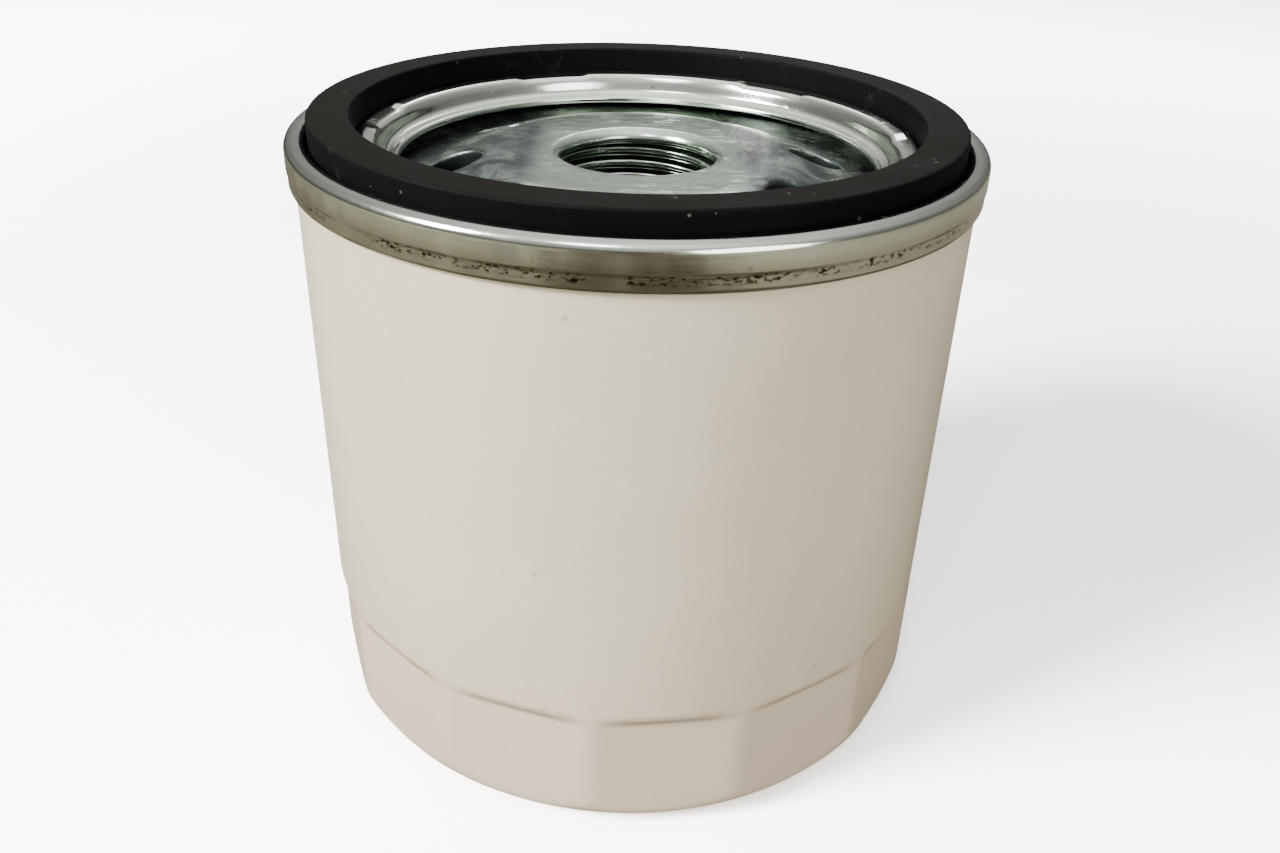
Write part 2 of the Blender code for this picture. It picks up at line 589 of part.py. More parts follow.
def build():
    clear_scene()
    parts = new_collection("oil_filter")
    cutters = new_collection("cutters")
    frames = {}
    for name in ("housing", "element", "bypass_valve", "drain_valve"):
        frames[name] = bpy.data.objects.new(name, None)
        frames[name].empty_display_size = OVERALL_HEIGHT / 4
        parts.objects.link(frames[name])

    paint = material("can_paint", (0.66, 0.63, 0.56), 0.42, 0.0)
    zinc = material("zinc_plate", (0.62, 0.64, 0.60), 0.33, 1.0)
    zinc_thick = material("zinc_plate_thick", (0.58, 0.60, 0.57), 0.36, 1.0)
    nitrile = material("nitrile_rubber", (0.018, 0.017, 0.016), 0.62, 0.0)
    sealant = material("seam_compound", (0.35, 0.33, 0.30), 0.7, 0.0)
    valve_rubber = material("valve_rubber", (0.03, 0.03, 0.035), 0.55, 0.0)
    tinplate = material("tinplate", (0.66, 0.66, 0.64), 0.35, 1.0)
    paper = material("resin_paper", (0.72, 0.58, 0.30), 0.9, 0.0)
    clip_steel = material("clip_steel", (0.55, 0.55, 0.53), 0.4, 1.0)
    tube_steel = material("tube_steel", (0.50, 0.51, 0.50), 0.42, 1.0)
    plastisol = material("plastisol", (0.55, 0.17, 0.09), 0.55, 0.0)
    spring_steel = material("spring_steel", (0.28, 0.27, 0.26), 0.38, 1.0)
    valve_steel = material("valve_steel", (0.52, 0.53, 0.53), 0.38, 1.0)
    nylon = material("valve_nylon", (0.60, 0.57, 0.48), 0.5, 0.0)

    place(make_can(), paint, frames["housing"], parts)
    place(make_lid(), zinc, frames["housing"], parts)
    place(make_plate(cutters), zinc_thick, frames["housing"], parts)
    place(make_gasket(), nitrile, frames["housing"], parts)
    place(make_sealant(), sealant, frames["housing"], parts)
    support = coil(
        "support_spring", SPRING_RADIUS, SPRING_WIRE, SPRING_BOTTOM, SPRING_TOP, SPRING_TURNS, 16, 0.8
    )
    place(support, spring_steel, frames["housing"], parts)

    place(make_drain_valve(), valve_rubber, frames["drain_valve"], parts)

    place(make_top_cap(), tinplate, frames["element"], parts)
    place(make_bottom_cap(), tinplate, frames["element"], parts)
    top_adhesive = make_adhesive("top_adhesive", TOP_ADHESIVE_TOP - ADHESIVE_DEPTH)
    place(top_adhesive, plastisol, frames["element"], parts)
    bottom_adhesive = make_adhesive("bottom_adhesive", BOTTOM_ADHESIVE_BOTTOM)
    place(bottom_adhesive, plastisol, frames["element"], parts)
    place(make_media(), paper, frames["element"], parts)
    place(make_clip(), clip_steel, frames["element"], parts)
    place(make_tube(cutters), tube_steel, frames["element"], parts)
    place(make_spring_seat(), tinplate, frames["element"], parts)
    place(make_bypass_seat(), valve_steel, frames["element"], parts)
    place(make_cage(cutters), valve_steel, frames["element"], parts)
    bypass = coil(
        "bypass_spring",
        BYPASS_SPRING_RADIUS,
        BYPASS_SPRING_WIRE,
        BYPASS_SPRING_BOTTOM,
        BYPASS_SPRING_TOP,
        BYPASS_SPRING_TURNS,
        12,
        0.5,
    )
    place(bypass, spring_steel, frames["element"], parts)

    place(make_poppet(), nylon, frames["bypass_valve"], parts)
    place(make_bypass_seal(), valve_rubber, frames["bypass_valve"], parts)


build()
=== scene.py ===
import math

import bmesh
import bpy
from mathutils import Matrix, Vector


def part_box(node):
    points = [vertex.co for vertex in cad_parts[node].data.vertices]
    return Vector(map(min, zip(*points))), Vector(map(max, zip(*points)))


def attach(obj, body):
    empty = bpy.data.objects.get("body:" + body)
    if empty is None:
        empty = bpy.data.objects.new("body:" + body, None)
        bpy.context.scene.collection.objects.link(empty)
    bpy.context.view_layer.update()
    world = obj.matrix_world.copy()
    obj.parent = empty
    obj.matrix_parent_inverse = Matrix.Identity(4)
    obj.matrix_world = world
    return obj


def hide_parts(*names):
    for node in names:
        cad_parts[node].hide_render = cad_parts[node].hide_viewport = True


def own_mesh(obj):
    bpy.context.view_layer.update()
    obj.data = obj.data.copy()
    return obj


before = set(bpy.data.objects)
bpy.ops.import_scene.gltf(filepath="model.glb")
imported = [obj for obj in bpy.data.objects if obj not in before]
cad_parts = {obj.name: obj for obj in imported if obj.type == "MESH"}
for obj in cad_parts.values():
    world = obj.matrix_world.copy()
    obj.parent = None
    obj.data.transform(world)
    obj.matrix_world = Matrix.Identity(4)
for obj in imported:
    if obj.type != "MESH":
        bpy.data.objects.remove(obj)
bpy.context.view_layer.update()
mm = 0.001
roundSteps = 160  # steps round the axis for the wide pieces inside the can
valveSteps = 120  # and for those of the bypass valve
cutAngle = 40  # edges sharper than this, in degrees, stay crisp where a punch has cut
foldAngle = 60
wireAngle = 50
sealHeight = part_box("sealing_gasket")[1].z  # the gasket's top face, where the filter meets the engine
print("frame loaded")


# Shapes shared by several pieces

def newObject(name, mesh):
    made = bpy.data.objects.new(name, mesh)
    bpy.context.scene.collection.objects.link(made)
    return made


def roundCorners(corners, steps=5, closed=True):
    # corners are (radius, height, rounding); each rounded corner becomes an arc
    outline = []
    count = len(corners)
    for index, (radius, height, rounding) in enumerate(corners):
        here = Vector((radius, height))
        isEnd = not closed and index in (0, count - 1)
        if rounding <= 0 or isEnd:
            outline.append((radius, height))
            continue
        before = Vector(corners[index - 1][:2]) - here
        after = Vector(corners[(index + 1) % count][:2]) - here
        half = before.angle(after) / 2
        reach = min(rounding / math.tan(half), before.length * 0.48, after.length * 0.48)
        size = reach * math.tan(half)
        middle = (before.normalized() + after.normalized()).normalized()
        centre = here + middle * (size / math.sin(half))
        first = here + before.normalized() * reach - centre
        last = here + after.normalized() * reach - centre
        start = math.atan2(first.y, first.x)
        sweep = (math.atan2(last.y, last.x) - start + math.pi) % math.tau - math.pi
        for step in range(steps + 1):
            angle = start + sweep * step / steps
            outline.append((centre.x + size * math.cos(angle), centre.y + size * math.sin(angle)))
    return outline


def finerOutline(outline, longest, closed=True):
    # adds points so that no stretch of the outline is longer than this
    finer = []
    pairs = list(zip(outline, outline[1:] + outline[:1]))
    for start, end in pairs if closed else pairs[:-1]:
        pieces = max(1, math.ceil(math.dist(start, end) / longest))
        for piece in range(pieces):
            share = piece / pieces
            finer.append(tuple(a + (b - a) * share for a, b in zip(start, end)))
    if not closed:
        finer.append(outline[-1])
    return finer


def turned(name, outline, steps=192, closed=True):
    # turns an outline that runs down its outer side round the filter's axis
    count = len(outline)
    points = []
    for step in range(steps):
        angle = math.tau * step / steps
        points += [(radius * math.cos(angle), radius * math.sin(angle), height) for radius, height in outline]
    faces = []
    for step in range(steps):
        here = step * count
        beside = (step + 1) % steps * count
        for index in range(count if closed else count - 1):
            below = (index + 1) % count
            faces.append((here + index, here + below, beside + below, beside + index))
    return meshObject(name, points, faces)


def turnedCorners(name, corners, arcSteps, longest, steps, closed=True):
    outline = finerOutline(roundCorners(corners, arcSteps, closed), longest, closed)
    return turned(name, outline, steps, closed)


def squareRing(inner, outer, low, high, edge):
    # the corners of a ring with a square section, all rounded alike
    return [(inner, high, edge), (outer, high, edge), (outer, low, edge), (inner, low, edge)]


def meshObject(name, points, faces, outward=False):
    mesh = bpy.data.meshes.new(name)
    mesh.from_pydata(points, [], faces)
    work = bmesh.new()
    work.from_mesh(mesh)
    bmesh.ops.remove_doubles(work, verts=work.verts, dist=1e-7)
    bmesh.ops.dissolve_degenerate(work, edges=work.edges, dist=1e-8)
    if outward:
        bmesh.ops.recalc_face_normals(work, faces=work.faces)
    keepMesh(work, mesh)
    mesh.shade_smooth()
    return newObject(name, mesh)


def keepMesh(work, mesh):
    work.to_mesh(mesh)
    work.free()
    return mesh


def faceOutward(piece, weld=0.0):
    work = bmesh.new()
    work.from_mesh(piece.data)
    if weld:
        bmesh.ops.remove_doubles(work, verts=work.verts, dist=weld)
    bmesh.ops.recalc_face_normals(work, faces=work.faces)
    keepMesh(work, piece.data)


def sheetMetal(piece, thickness, offset=-1.0, even=True):
    # gives an open surface its thickness: away from its normals at offset -1, to both sides at 0
    sheet = piece.modifiers.new("thickness", "SOLIDIFY")
    sheet.thickness = thickness
    sheet.offset = offset
    sheet.use_even_offset = even


def settle(piece, sharpAngle=None):
    # turns what the modifiers make into a plain mesh
    graph = bpy.context.evaluated_depsgraph_get()
    mesh = bpy.data.meshes.new_from_object(piece.evaluated_get(graph))
    piece.modifiers.clear()
    piece.data = mesh
    mesh.shade_smooth()
    if sharpAngle:
        mesh.set_sharp_from_angle(angle=math.radians(sharpAngle))


def fit(piece, body, nodes, material):
    piece.data.materials.clear()
    piece.data.materials.append(material)
    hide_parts(*nodes)
    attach(piece, body)


# Node trees: small helpers used by the geometry trees and the material groups

def plug(tree, socket, value):
    if isinstance(value, bpy.types.NodeSocket):
        tree.links.new(value, socket)
    else:
        socket.default_value = value


def calc(tree, operation, *values, clamp=False):
    made = tree.nodes.new("ShaderNodeMath")
    made.operation = operation
    made.use_clamp = clamp
    for socket, value in zip(made.inputs, values):
        plug(tree, socket, value)
    return made.outputs[0]


def plus(tree, first, second):
    return calc(tree, "ADD", first, second)


def minus(tree, first, second):
    return calc(tree, "SUBTRACT", first, second)


def times(tree, first, second):
    return calc(tree, "MULTIPLY", first, second)


def mapRange(tree, value, low, high, toLow=0.0, toHigh=1.0, smooth=True):
    made = tree.nodes.new("ShaderNodeMapRange")
    made.interpolation_type = "SMOOTHSTEP" if smooth else "LINEAR"
    for socket, given in zip(made.inputs, (value, low, high, toLow, toHigh)):
        plug(tree, socket, given)
    return made.outputs[0]


def newTree(name, kind, inputs, outputs):
    # inputs map a name to a default, which shows the socket's kind, or to the kind if there is no default
    kinds = {float: "NodeSocketFloat", int: "NodeSocketInt", tuple: "NodeSocketVector"}
    tree = bpy.data.node_groups.new(name, kind)
    for label, value in inputs.items():
        socketKind = kinds.get(type(value), value)
        socket = tree.interface.new_socket(label, in_out="INPUT", socket_type=socketKind)
        if value != socketKind:
            socket.default_value = value
    for label, socketKind in outputs.items():
        tree.interface.new_socket(label, in_out="OUTPUT", socket_type=socketKind)
    entry = tree.nodes.new("NodeGroupInput").outputs
    leave = tree.nodes.new("NodeGroupOutput").inputs
    return tree, entry, leave


def newShaderTree(name, inputs, *outputs):
    return newTree(name, "ShaderNodeTree", inputs, dict.fromkeys(outputs, "NodeSocketFloat"))


def newGeometryTree(name, inputs):
    geometry = "NodeSocketGeometry"
    inputs = {"Geometry": geometry, **inputs, "Material": "NodeSocketMaterial"}
    return newTree(name, "GeometryNodeTree", inputs, {"Geometry": geometry})


def endTree(tree, entry, leave, geometry):
    realize = tree.nodes.new("GeometryNodeRealizeInstances")
    finish = tree.nodes.new("GeometryNodeSetMaterial")
    tree.links.new(geometry, realize.inputs["Geometry"])
    tree.links.new(realize.outputs["Geometry"], finish.inputs["Geometry"])
    tree.links.new(entry["Material"], finish.inputs["Material"])
    tree.links.new(finish.outputs["Geometry"], leave["Geometry"])


def applyTree(piece, tree, values):
    # sets the tree's named inputs on a modifier, by each socket's identifier
    modifier = piece.modifiers.new(tree.name, "NODES")
    modifier.node_group = tree
    for item in tree.interface.items_tree:
        if item.item_type == "SOCKET" and item.in_out == "INPUT" and item.name in values:
            modifier[item.identifier] = values[item.name]


def objectPoint(tree):
    return tree.nodes.new("ShaderNodeTexCoord").outputs["Object"]


def splitXyz(tree, vector):
    split = tree.nodes.new("ShaderNodeSeparateXYZ")
    tree.links.new(vector, split.inputs[0])
    return split.outputs


def joinXyz(tree, x, y, z):
    join = tree.nodes.new("ShaderNodeCombineXYZ")
    for socket, value in zip(join.inputs, (x, y, z)):
        plug(tree, socket, value)
    return join.outputs[0]


def cylinderSockets(tree, position):
    # the angle, radius and height of a point about the filter's axis, with its x and y
    x, y, height = splitXyz(tree, position)
    angle = calc(tree, "ARCTAN2", y, x)
    radius = calc(tree, "SQRT", plus(tree, times(tree, x, x), times(tree, y, y)))
    return angle, radius, height, x, y


def roundAxis(tree, angle, radius):
    # the x and y of a point at this angle and radius
    return times(tree, calc(tree, "COSINE", angle), radius), times(tree, calc(tree, "SINE", angle), radius)


def shareOfTurn(tree, angle, phase, count):
    # the angle that one of several even shares of a turn takes up, and how far a point lies within its own
    pitch = calc(tree, "DIVIDE", math.tau, count)
    return pitch, calc(tree, "FLOORED_MODULO", minus(tree, angle, phase), pitch)


def setPosition(tree, geometry, x, y, z):
    move = tree.nodes.new("GeometryNodeSetPosition")
    tree.links.new(geometry, move.inputs["Geometry"])
    tree.links.new(joinXyz(tree, x, y, z), move.inputs["Position"])
    return move.outputs["Geometry"]


# Effects that several materials share

def makeCylinderValues():
    tree, entry, leave = newShaderTree("cylinderValues", {}, "Angle", "Radius", "Height")
    values = cylinderSockets(tree, objectPoint(tree))
    for socket, value in zip(leave, values[:3]):
        tree.links.new(value, socket)
    return tree


def groupNode(tree, group, **values):
    # places a shared group and sets its named inputs; an underscore stands for a space
    made = tree.nodes.new("ShaderNodeGroup")
    made.node_tree = group
    for label, value in values.items():
        plug(tree, made.inputs[label.replace("_", " ")], value)
    return made.outputs


def noise(tree, vector, scale, detail=3.0, rough=0.55, distortion=0.0):
    made = tree.nodes.new("ShaderNodeTexNoise")
    if vector is not None:
        tree.links.new(vector, made.inputs["Vector"])
    values = {"Scale": scale, "Detail": detail, "Roughness": rough, "Distortion": distortion}
    for label, value in values.items():
        plug(tree, made.inputs[label], value)
    return made.outputs["Fac"]


def patches(tree, cloud, amount, softness):
    # cuts a noise into patches that cover more as the amount grows
    edge = minus(tree, 1.0, amount)
    return mapRange(tree, cloud, minus(tree, edge, softness), plus(tree, edge, softness))


def facingUp(tree):
    # the upward part of the face's own normal
    return splitXyz(tree, tree.nodes.new("ShaderNodeNewGeometry").outputs["True Normal"])["Z"]


def makeBlotches():
    # soft clouds, from a low value to a high one
    inputs = {"Scale": 60.0, "Coverage": 0.5, "Softness": 0.15, "Shift": "NodeSocketVector"}
    tree, entry, leave = newShaderTree("blotches", inputs, "Mask")
    move = tree.nodes.new("ShaderNodeVectorMath")
    tree.links.new(objectPoint(tree), move.inputs[0])
    tree.links.new(entry["Shift"], move.inputs[1])
    cloud = noise(tree, move.outputs[0], entry["Scale"], 5.0, 0.6, 0.6)
    tree.links.new(patches(tree, cloud, entry["Coverage"], entry["Softness"]), leave["Mask"])
    return tree


def makeRollingLines(cylinderGroup):
    # fine lines that run round the axis, as rolling or turning leaves them
    inputs = {"Lines Per Metre": 3000.0, "Waver": 0.4}
    tree, entry, leave = newShaderTree("rollingLines", inputs, "Height")
    values = groupNode(tree, cylinderGroup)
    stretch = entry["Lines Per Metre"]
    out = times(tree, values["Radius"], stretch)
    up = times(tree, values["Height"], stretch)
    along = times(tree, calc(tree, "SINE", values["Angle"]), entry["Waver"])
    tree.links.new(noise(tree, joinXyz(tree, out, up, along), 1.0, 3.0, 0.6), leave["Height"])
    return tree


def makeScratches():
    # thin straight scratches in three directions, broken up into short lengths
    tree, entry, leave = newShaderTree("scratches", {"Scale": 400.0, "Amount": 0.3}, "Mask")
    marks = []
    for turn, seed in ((0.5, 1.7), (-0.9, 8.3), (2.2, 4.1)):
        lay = tree.nodes.new("ShaderNodeMapping")
        lay.inputs["Rotation"].default_value = (0.3 * turn, 0.2, turn)
        lay.inputs["Location"].default_value = (seed, -seed, seed * 0.5)
        lay.inputs["Scale"].default_value = (0.04, 1.0, 0.3)
        tree.links.new(objectPoint(tree), lay.inputs["Vector"])
        line = noise(tree, lay.outputs["Vector"], entry["Scale"], 2.0, 0.5)
        away = calc(tree, "ABSOLUTE", minus(tree, line, 0.5))
        marks.append(mapRange(tree, away, 0.0, 0.012, 1.0, 0.0))
    every = calc(tree, "MAXIMUM", calc(tree, "MAXIMUM", marks[0], marks[1]), marks[2])
    where = noise(tree, objectPoint(tree), times(tree, entry["Scale"], 0.35), 3.0, 0.6)
    broken = patches(tree, where, entry["Amount"], 0.1)
    tree.links.new(times(tree, every, broken), leave["Mask"])
    return tree


def makeSpecks():
    # scattered dust: small round spots, present in only some of the cells
    tree, entry, leave = newShaderTree("specks", {"Scale": 700.0, "Amount": 0.2, "Size": 0.25}, "Mask")
    cells = tree.nodes.new("ShaderNodeTexVoronoi")
    tree.links.new(objectPoint(tree), cells.inputs["Vector"])
    tree.links.new(entry["Scale"], cells.inputs["Scale"])
    shade = tree.nodes.new("ShaderNodeSeparateColor")
    tree.links.new(cells.outputs["Color"], shade.inputs[0])
    present = calc(tree, "LESS_THAN", shade.outputs[0], entry["Amount"])
    reach = times(tree, entry["Size"], plus(tree, shade.outputs[1], 0.35))
    spot = mapRange(tree, cells.outputs["Distance"], 0.0, reach, 1.0, 0.0)
    tree.links.new(times(tree, present, spot), leave["Mask"])
    return tree


def makeRubBand(cylinderGroup):
    # groups of small dark marks that run round the seam between two heights
    inputs = {"Low": 0.0, "High": 1.0, "Amount": 0.45, "Length": 14.0}
    tree, entry, leave = newShaderTree("rubBand", inputs, "Mask")
    values = groupNode(tree, cylinderGroup)
    height = values["Height"]
    sine = calc(tree, "SINE", values["Angle"])
    cosine = calc(tree, "COSINE", values["Angle"])
    along = times(tree, sine, entry["Length"])
    across = times(tree, cosine, entry["Length"])
    cloud = noise(tree, joinXyz(tree, along, across, times(tree, height, 2600.0)), 1.0, 5.0, 0.65)
    marks = patches(tree, cloud, entry["Amount"], 0.05)
    around = joinXyz(tree, times(tree, sine, 5.0), times(tree, cosine, 5.0), 0.0)
    marks = times(tree, marks, mapRange(tree, noise(tree, around, 1.0, 2.0), 0.38, 0.52))
    margin = 0.35 * mm
    above = mapRange(tree, height, entry["Low"], plus(tree, entry["Low"], margin))
    below = mapRange(tree, height, minus(tree, entry["High"], margin), entry["High"], 1.0, 0.0)
    tree.links.new(times(tree, marks, times(tree, above, below)), leave["Mask"])
    return tree


cylinderValues = makeCylinderValues()
blotches = makeBlotches()
rollingLines = makeRollingLines(cylinderValues)
scratches = makeScratches()
specks = makeSpecks()
rubBand = makeRubBand(cylinderValues)


def newMaterial(name, metallic):
    made = bpy.data.materials.new(name)
    made.use_nodes = True
    tree = made.node_tree
    shader = tree.nodes["Principled BSDF"]
    shader.inputs["Metallic"].default_value = metallic
    return made, tree, shader


def blendColour(tree, mask, under, over):
    made = tree.nodes.new("ShaderNodeMix")
    made.data_type = "RGBA"
    plug(tree, made.inputs["Factor"], mask)
    for label, value in (("A", under), ("B", over)):
        socket = next(s for s in made.inputs if s.name == label and s.type == "RGBA")
        if isinstance(value, tuple):
            value = (*value, 1.0)
        plug(tree, socket, value)
    return next(s for s in made.outputs if s.type == "RGBA")


def tint(tree, colour, mask, amount, over):
    return blendColour(tree, times(tree, mask, amount), colour, over)


def addBump(tree, shader, height, strength, distance):
    bump = tree.nodes.new("ShaderNodeBump")
    bump.inputs["Strength"].default_value = strength
    bump.inputs["Distance"].default_value = distance
    tree.links.new(height, bump.inputs["Height"])
    tree.links.new(bump.outputs["Normal"], shader.inputs["Normal"])


def finishSurface(tree, shader, colour, rough, roughness):
    # the material's colour, and its roughness with what the marks add
    tree.links.new(colour, shader.inputs["Base Color"])
    tree.links.new(plus(tree, rough, roughness), shader.inputs["Roughness"])


def weigh(tree, *parts):
    # a sum of heights, each with its own weight
    total = None
    for value, weight in parts:
        share = times(tree, value, weight)
        total = share if total is None else plus(tree, total, share)
    return total


# Finishes

def canPaint(look):
    # satin enamel over drawn steel: a little orange peel, handling smudges, painted shade under the shoulder
    made, tree, shader = newMaterial("canPaint", 0.0)
    values = groupNode(tree, cylinderValues)
    shoulder = look["shoulder"]
    cloud = groupNode(tree, blotches, Scale=38.0, Coverage=0.5, Softness=0.3)["Mask"]
    colour = blendColour(tree, cloud, look["cream"], look["creamDeep"])
    lower = mapRange(tree, values["Height"], shoulder - 14 * mm, shoulder + 22 * mm, 1.0, 0.0)
    colour = tint(tree, colour, lower, 0.55, look["warm"])
    smudge = groupNode(tree, blotches, Scale=85.0, Coverage=0.3, Softness=0.12, Shift=(0.3, 0.1, 0.7))["Mask"]
    colour = tint(tree, colour, smudge, 0.16, look["smudge"])
    # painted shade: a dark line just under the shoulder, darkest where the flats are pressed in
    under = mapRange(tree, values["Height"], shoulder - 1.0 * mm, shoulder - 0.1 * mm)
    over = mapRange(tree, values["Height"], shoulder - 0.1 * mm, shoulder + 0.8 * mm, 1.0, 0.0)
    inset = mapRange(tree, values["Radius"], look["radius"] - 0.55 * mm, look["radius"] + 0.15 * mm, 1.0, 0.0)
    grimeAndShade = times(tree, times(tree, under, over), inset)
    colour = tint(tree, colour, grimeAndShade, 0.8, look["grimeAndShade"])
    scuff = groupNode(tree, scratches, Scale=520.0, Amount=0.42)["Mask"]
    colour = tint(tree, colour, scuff, 0.22, look["scuff"])
    dust = groupNode(tree, specks, Scale=330.0, Amount=0.05, Size=0.16)["Mask"]
    colour = tint(tree, colour, dust, 0.6, look["grimeAndShade"])
    rough = weigh(tree, (cloud, 0.1), (smudge, 0.1), (scuff, 0.15))
    finishSurface(tree, shader, colour, rough, look["roughness"])
    shader.inputs["Coat Weight"].default_value = 0.25
    shader.inputs["Coat Roughness"].default_value = 0.22
    peel = noise(tree, objectPoint(tree), 900.0, 2.0, 0.5)
    ripple = noise(tree, objectPoint(tree), 90.0, 2.0, 0.5)
    height = weigh(tree, (peel, 0.25), (ripple, 1.0), (scuff, -0.12), (dust, 0.3))
    addBump(tree, shader, height, 0.5, 0.08 * mm)
    return made


def zincPlate(name, look):
    # bright zinc on pressed steel: green and blue tint, rolling lines, white bloom, scratches, rub marks;
    # painted shade in the bore, on upright walls, at the plate's sides and on the bead beside the gasket
    made, tree, shader = newMaterial(name, 1.0)
    large = groupNode(tree, blotches, Scale=75.0, Coverage=0.5, Softness=0.25)["Mask"]
    colour = blendColour(tree, large, look["zinc"], look["zincDeep"])
    pale = groupNode(tree, blotches, Scale=210.0, Coverage=0.45, Softness=0.2, Shift=(0.6, 0.4, 0.2))["Mask"]
    colour = tint(tree, colour, pale, 0.3, look["bloom"])
    patch = {"Coverage": look["blueAmount"], "Softness": 0.12, "Shift": (0.2, 0.5, 0.1)}
    blue = groupNode(tree, blotches, Scale=140.0, **patch)["Mask"]
    colour = tint(tree, colour, blue, 0.6, look["blue"])
    lines = groupNode(tree, rollingLines, Lines_Per_Metre=look["lines"], Waver=1.2)["Height"]
    streak = mapRange(tree, lines, 0.35, 0.75)
    colour = tint(tree, colour, streak, 0.16, look["bloom"])
    marks = groupNode(tree, scratches, Scale=700.0, Amount=look["scratched"])["Mask"]
    colour = tint(tree, colour, marks, 0.35, look["bloom"])
    pits = groupNode(tree, specks, Scale=620.0, Amount=0.1, Size=0.2)["Mask"]
    colour = tint(tree, colour, pits, 0.5, look["grimeAndShade"])
    rough = weigh(tree, (large, 0.05), (blue, 0.1), (streak, 0.04), (marks, 0.06))
    height = weigh(tree, (lines, 1.0), (marks, -1.4), (noise(tree, objectPoint(tree), 160.0, 3.0), 9.0))
    if "boreRadius" in look:
        values = groupNode(tree, cylinderValues)
        bore, mouth = look["boreRadius"], look["mouthEnd"]
        # painted shade in the threaded bore: the grooves and a band just below the mouth are darkened
        below = mapRange(tree, values["Height"], mouth - 0.5 * mm, mouth + 0.2 * mm, 1.0, 0.0)
        within = mapRange(tree, values["Radius"], bore + 1.0 * mm, bore + 1.6 * mm, 1.0, 0.0)
        inBore = times(tree, below, within)
        cut = mapRange(tree, values["Radius"], bore + 0.06 * mm, bore + 0.28 * mm)
        entry = mapRange(tree, values["Height"], mouth - 1.3 * mm, mouth - 1.0 * mm)
        boreShade = times(tree, inBore, calc(tree, "MAXIMUM", cut, entry))
        colour = tint(tree, colour, boreShade, 0.88, look["boreShade"])
        outside = minus(tree, 1.0, times(tree, inBore, 0.9))
        height = times(tree, height, outside)
    if "wallShadeFrom" in look:
        # painted shade: upright walls beyond this radius, the holes' walls and the rim's edge, are made near
        # black
        radius, start = groupNode(tree, cylinderValues)["Radius"], look["wallShadeFrom"]
        upright = mapRange(tree, calc(tree, "ABSOLUTE", facingUp(tree)), 0.1, 0.45, 1.0, 0.0)
        wallShade = times(tree, upright, mapRange(tree, radius, start, start + mm))
        colour = tint(tree, colour, wallShade, 0.85, look["wallShade"])
        rough = plus(tree, rough, times(tree, wallShade, 0.15))
    if "sideShadeFrom" in look:
        # painted shade: the plate is darkened towards its left and right, along x, in patchy wisps
        aside = calc(tree, "ABSOLUTE", splitXyz(tree, objectPoint(tree))["X"])
        reach = mapRange(tree, aside, look["sideShadeFrom"], look["sideShadeFrom"] + 3.5 * mm)
        wisp = {"Coverage": 0.55, "Softness": 0.15, "Shift": (0.9, 0.2, 0.4)}
        wisps = groupNode(tree, blotches, Scale=240.0, **wisp)["Mask"]
        sideShade = times(tree, reach, plus(tree, 0.4, times(tree, wisps, 0.6)))
        colour = blendColour(tree, sideShade, colour, look["blue"])
        rough = plus(tree, rough, times(tree, sideShade, 0.1))
    if "rubLow" in look:
        band = {"Low": look["rubLow"], "High": look["rubHigh"], "Amount": 0.45, "Length": 50.0}
        values = groupNode(tree, cylinderValues)
        radius, seam = values["Radius"], look["seamRadius"]
        onSeam = mapRange(tree, radius, seam - 1.2 * mm, seam - 0.6 * mm)
        # the seam band is tinted brown below the rub marks' top, fading out above it
        lowerBand = mapRange(tree, values["Height"], look["rubHigh"], look["rubHigh"] + 1.4 * mm, 1.0, 0.0)
        lowerBand = times(tree, lowerBand, onSeam)
        colour = tint(tree, colour, lowerBand, 0.42, look["brown"])
        # painted shade: the gasket's shadow on the bead's top, a darker green-grey ring
        bead = mapRange(tree, radius, seam - 0.42 * mm, seam - 0.12 * mm, 1.0, 0.0)
        beyond = mapRange(tree, radius, seam - 2.4 * mm, seam - 2.1 * mm)
        beadShade = times(tree, bead, beyond)
        colour = tint(tree, colour, beadShade, 0.6, look["beadShade"])
        rub = times(tree, groupNode(tree, rubBand, **band)["Mask"], onSeam)
        colour = tint(tree, colour, rub, 0.96, look["grimeAndShade"])
        rough = plus(tree, rough, times(tree, rub, 0.04))
    finishSurface(tree, shader, colour, rough, look["roughness"])
    addBump(tree, shader, height, 1.0, look["relief"])
    return made


def steel(name, look):
    # plain, tinned or oiled steel strip
    made, tree, shader = newMaterial(name, 1.0)
    cloud = groupNode(tree, blotches, Scale=look["cloudScale"], Coverage=0.5, Softness=0.25)["Mask"]
    colour = blendColour(tree, cloud, look["light"], look["dark"])
    lines = groupNode(tree, rollingLines, Lines_Per_Metre=look["lines"], Waver=0.8)["Height"]
    marks = groupNode(tree, scratches, Scale=800.0, Amount=0.4)["Mask"]
    colour = tint(tree, colour, marks, 0.3, look["mark"])
    finishSurface(tree, shader, colour, weigh(tree, (cloud, 0.12), (marks, 0.12)), look["roughness"])
    addBump(tree, shader, weigh(tree, (lines, 0.6), (marks, -0.4)), 0.3, 0.05 * mm)
    return made


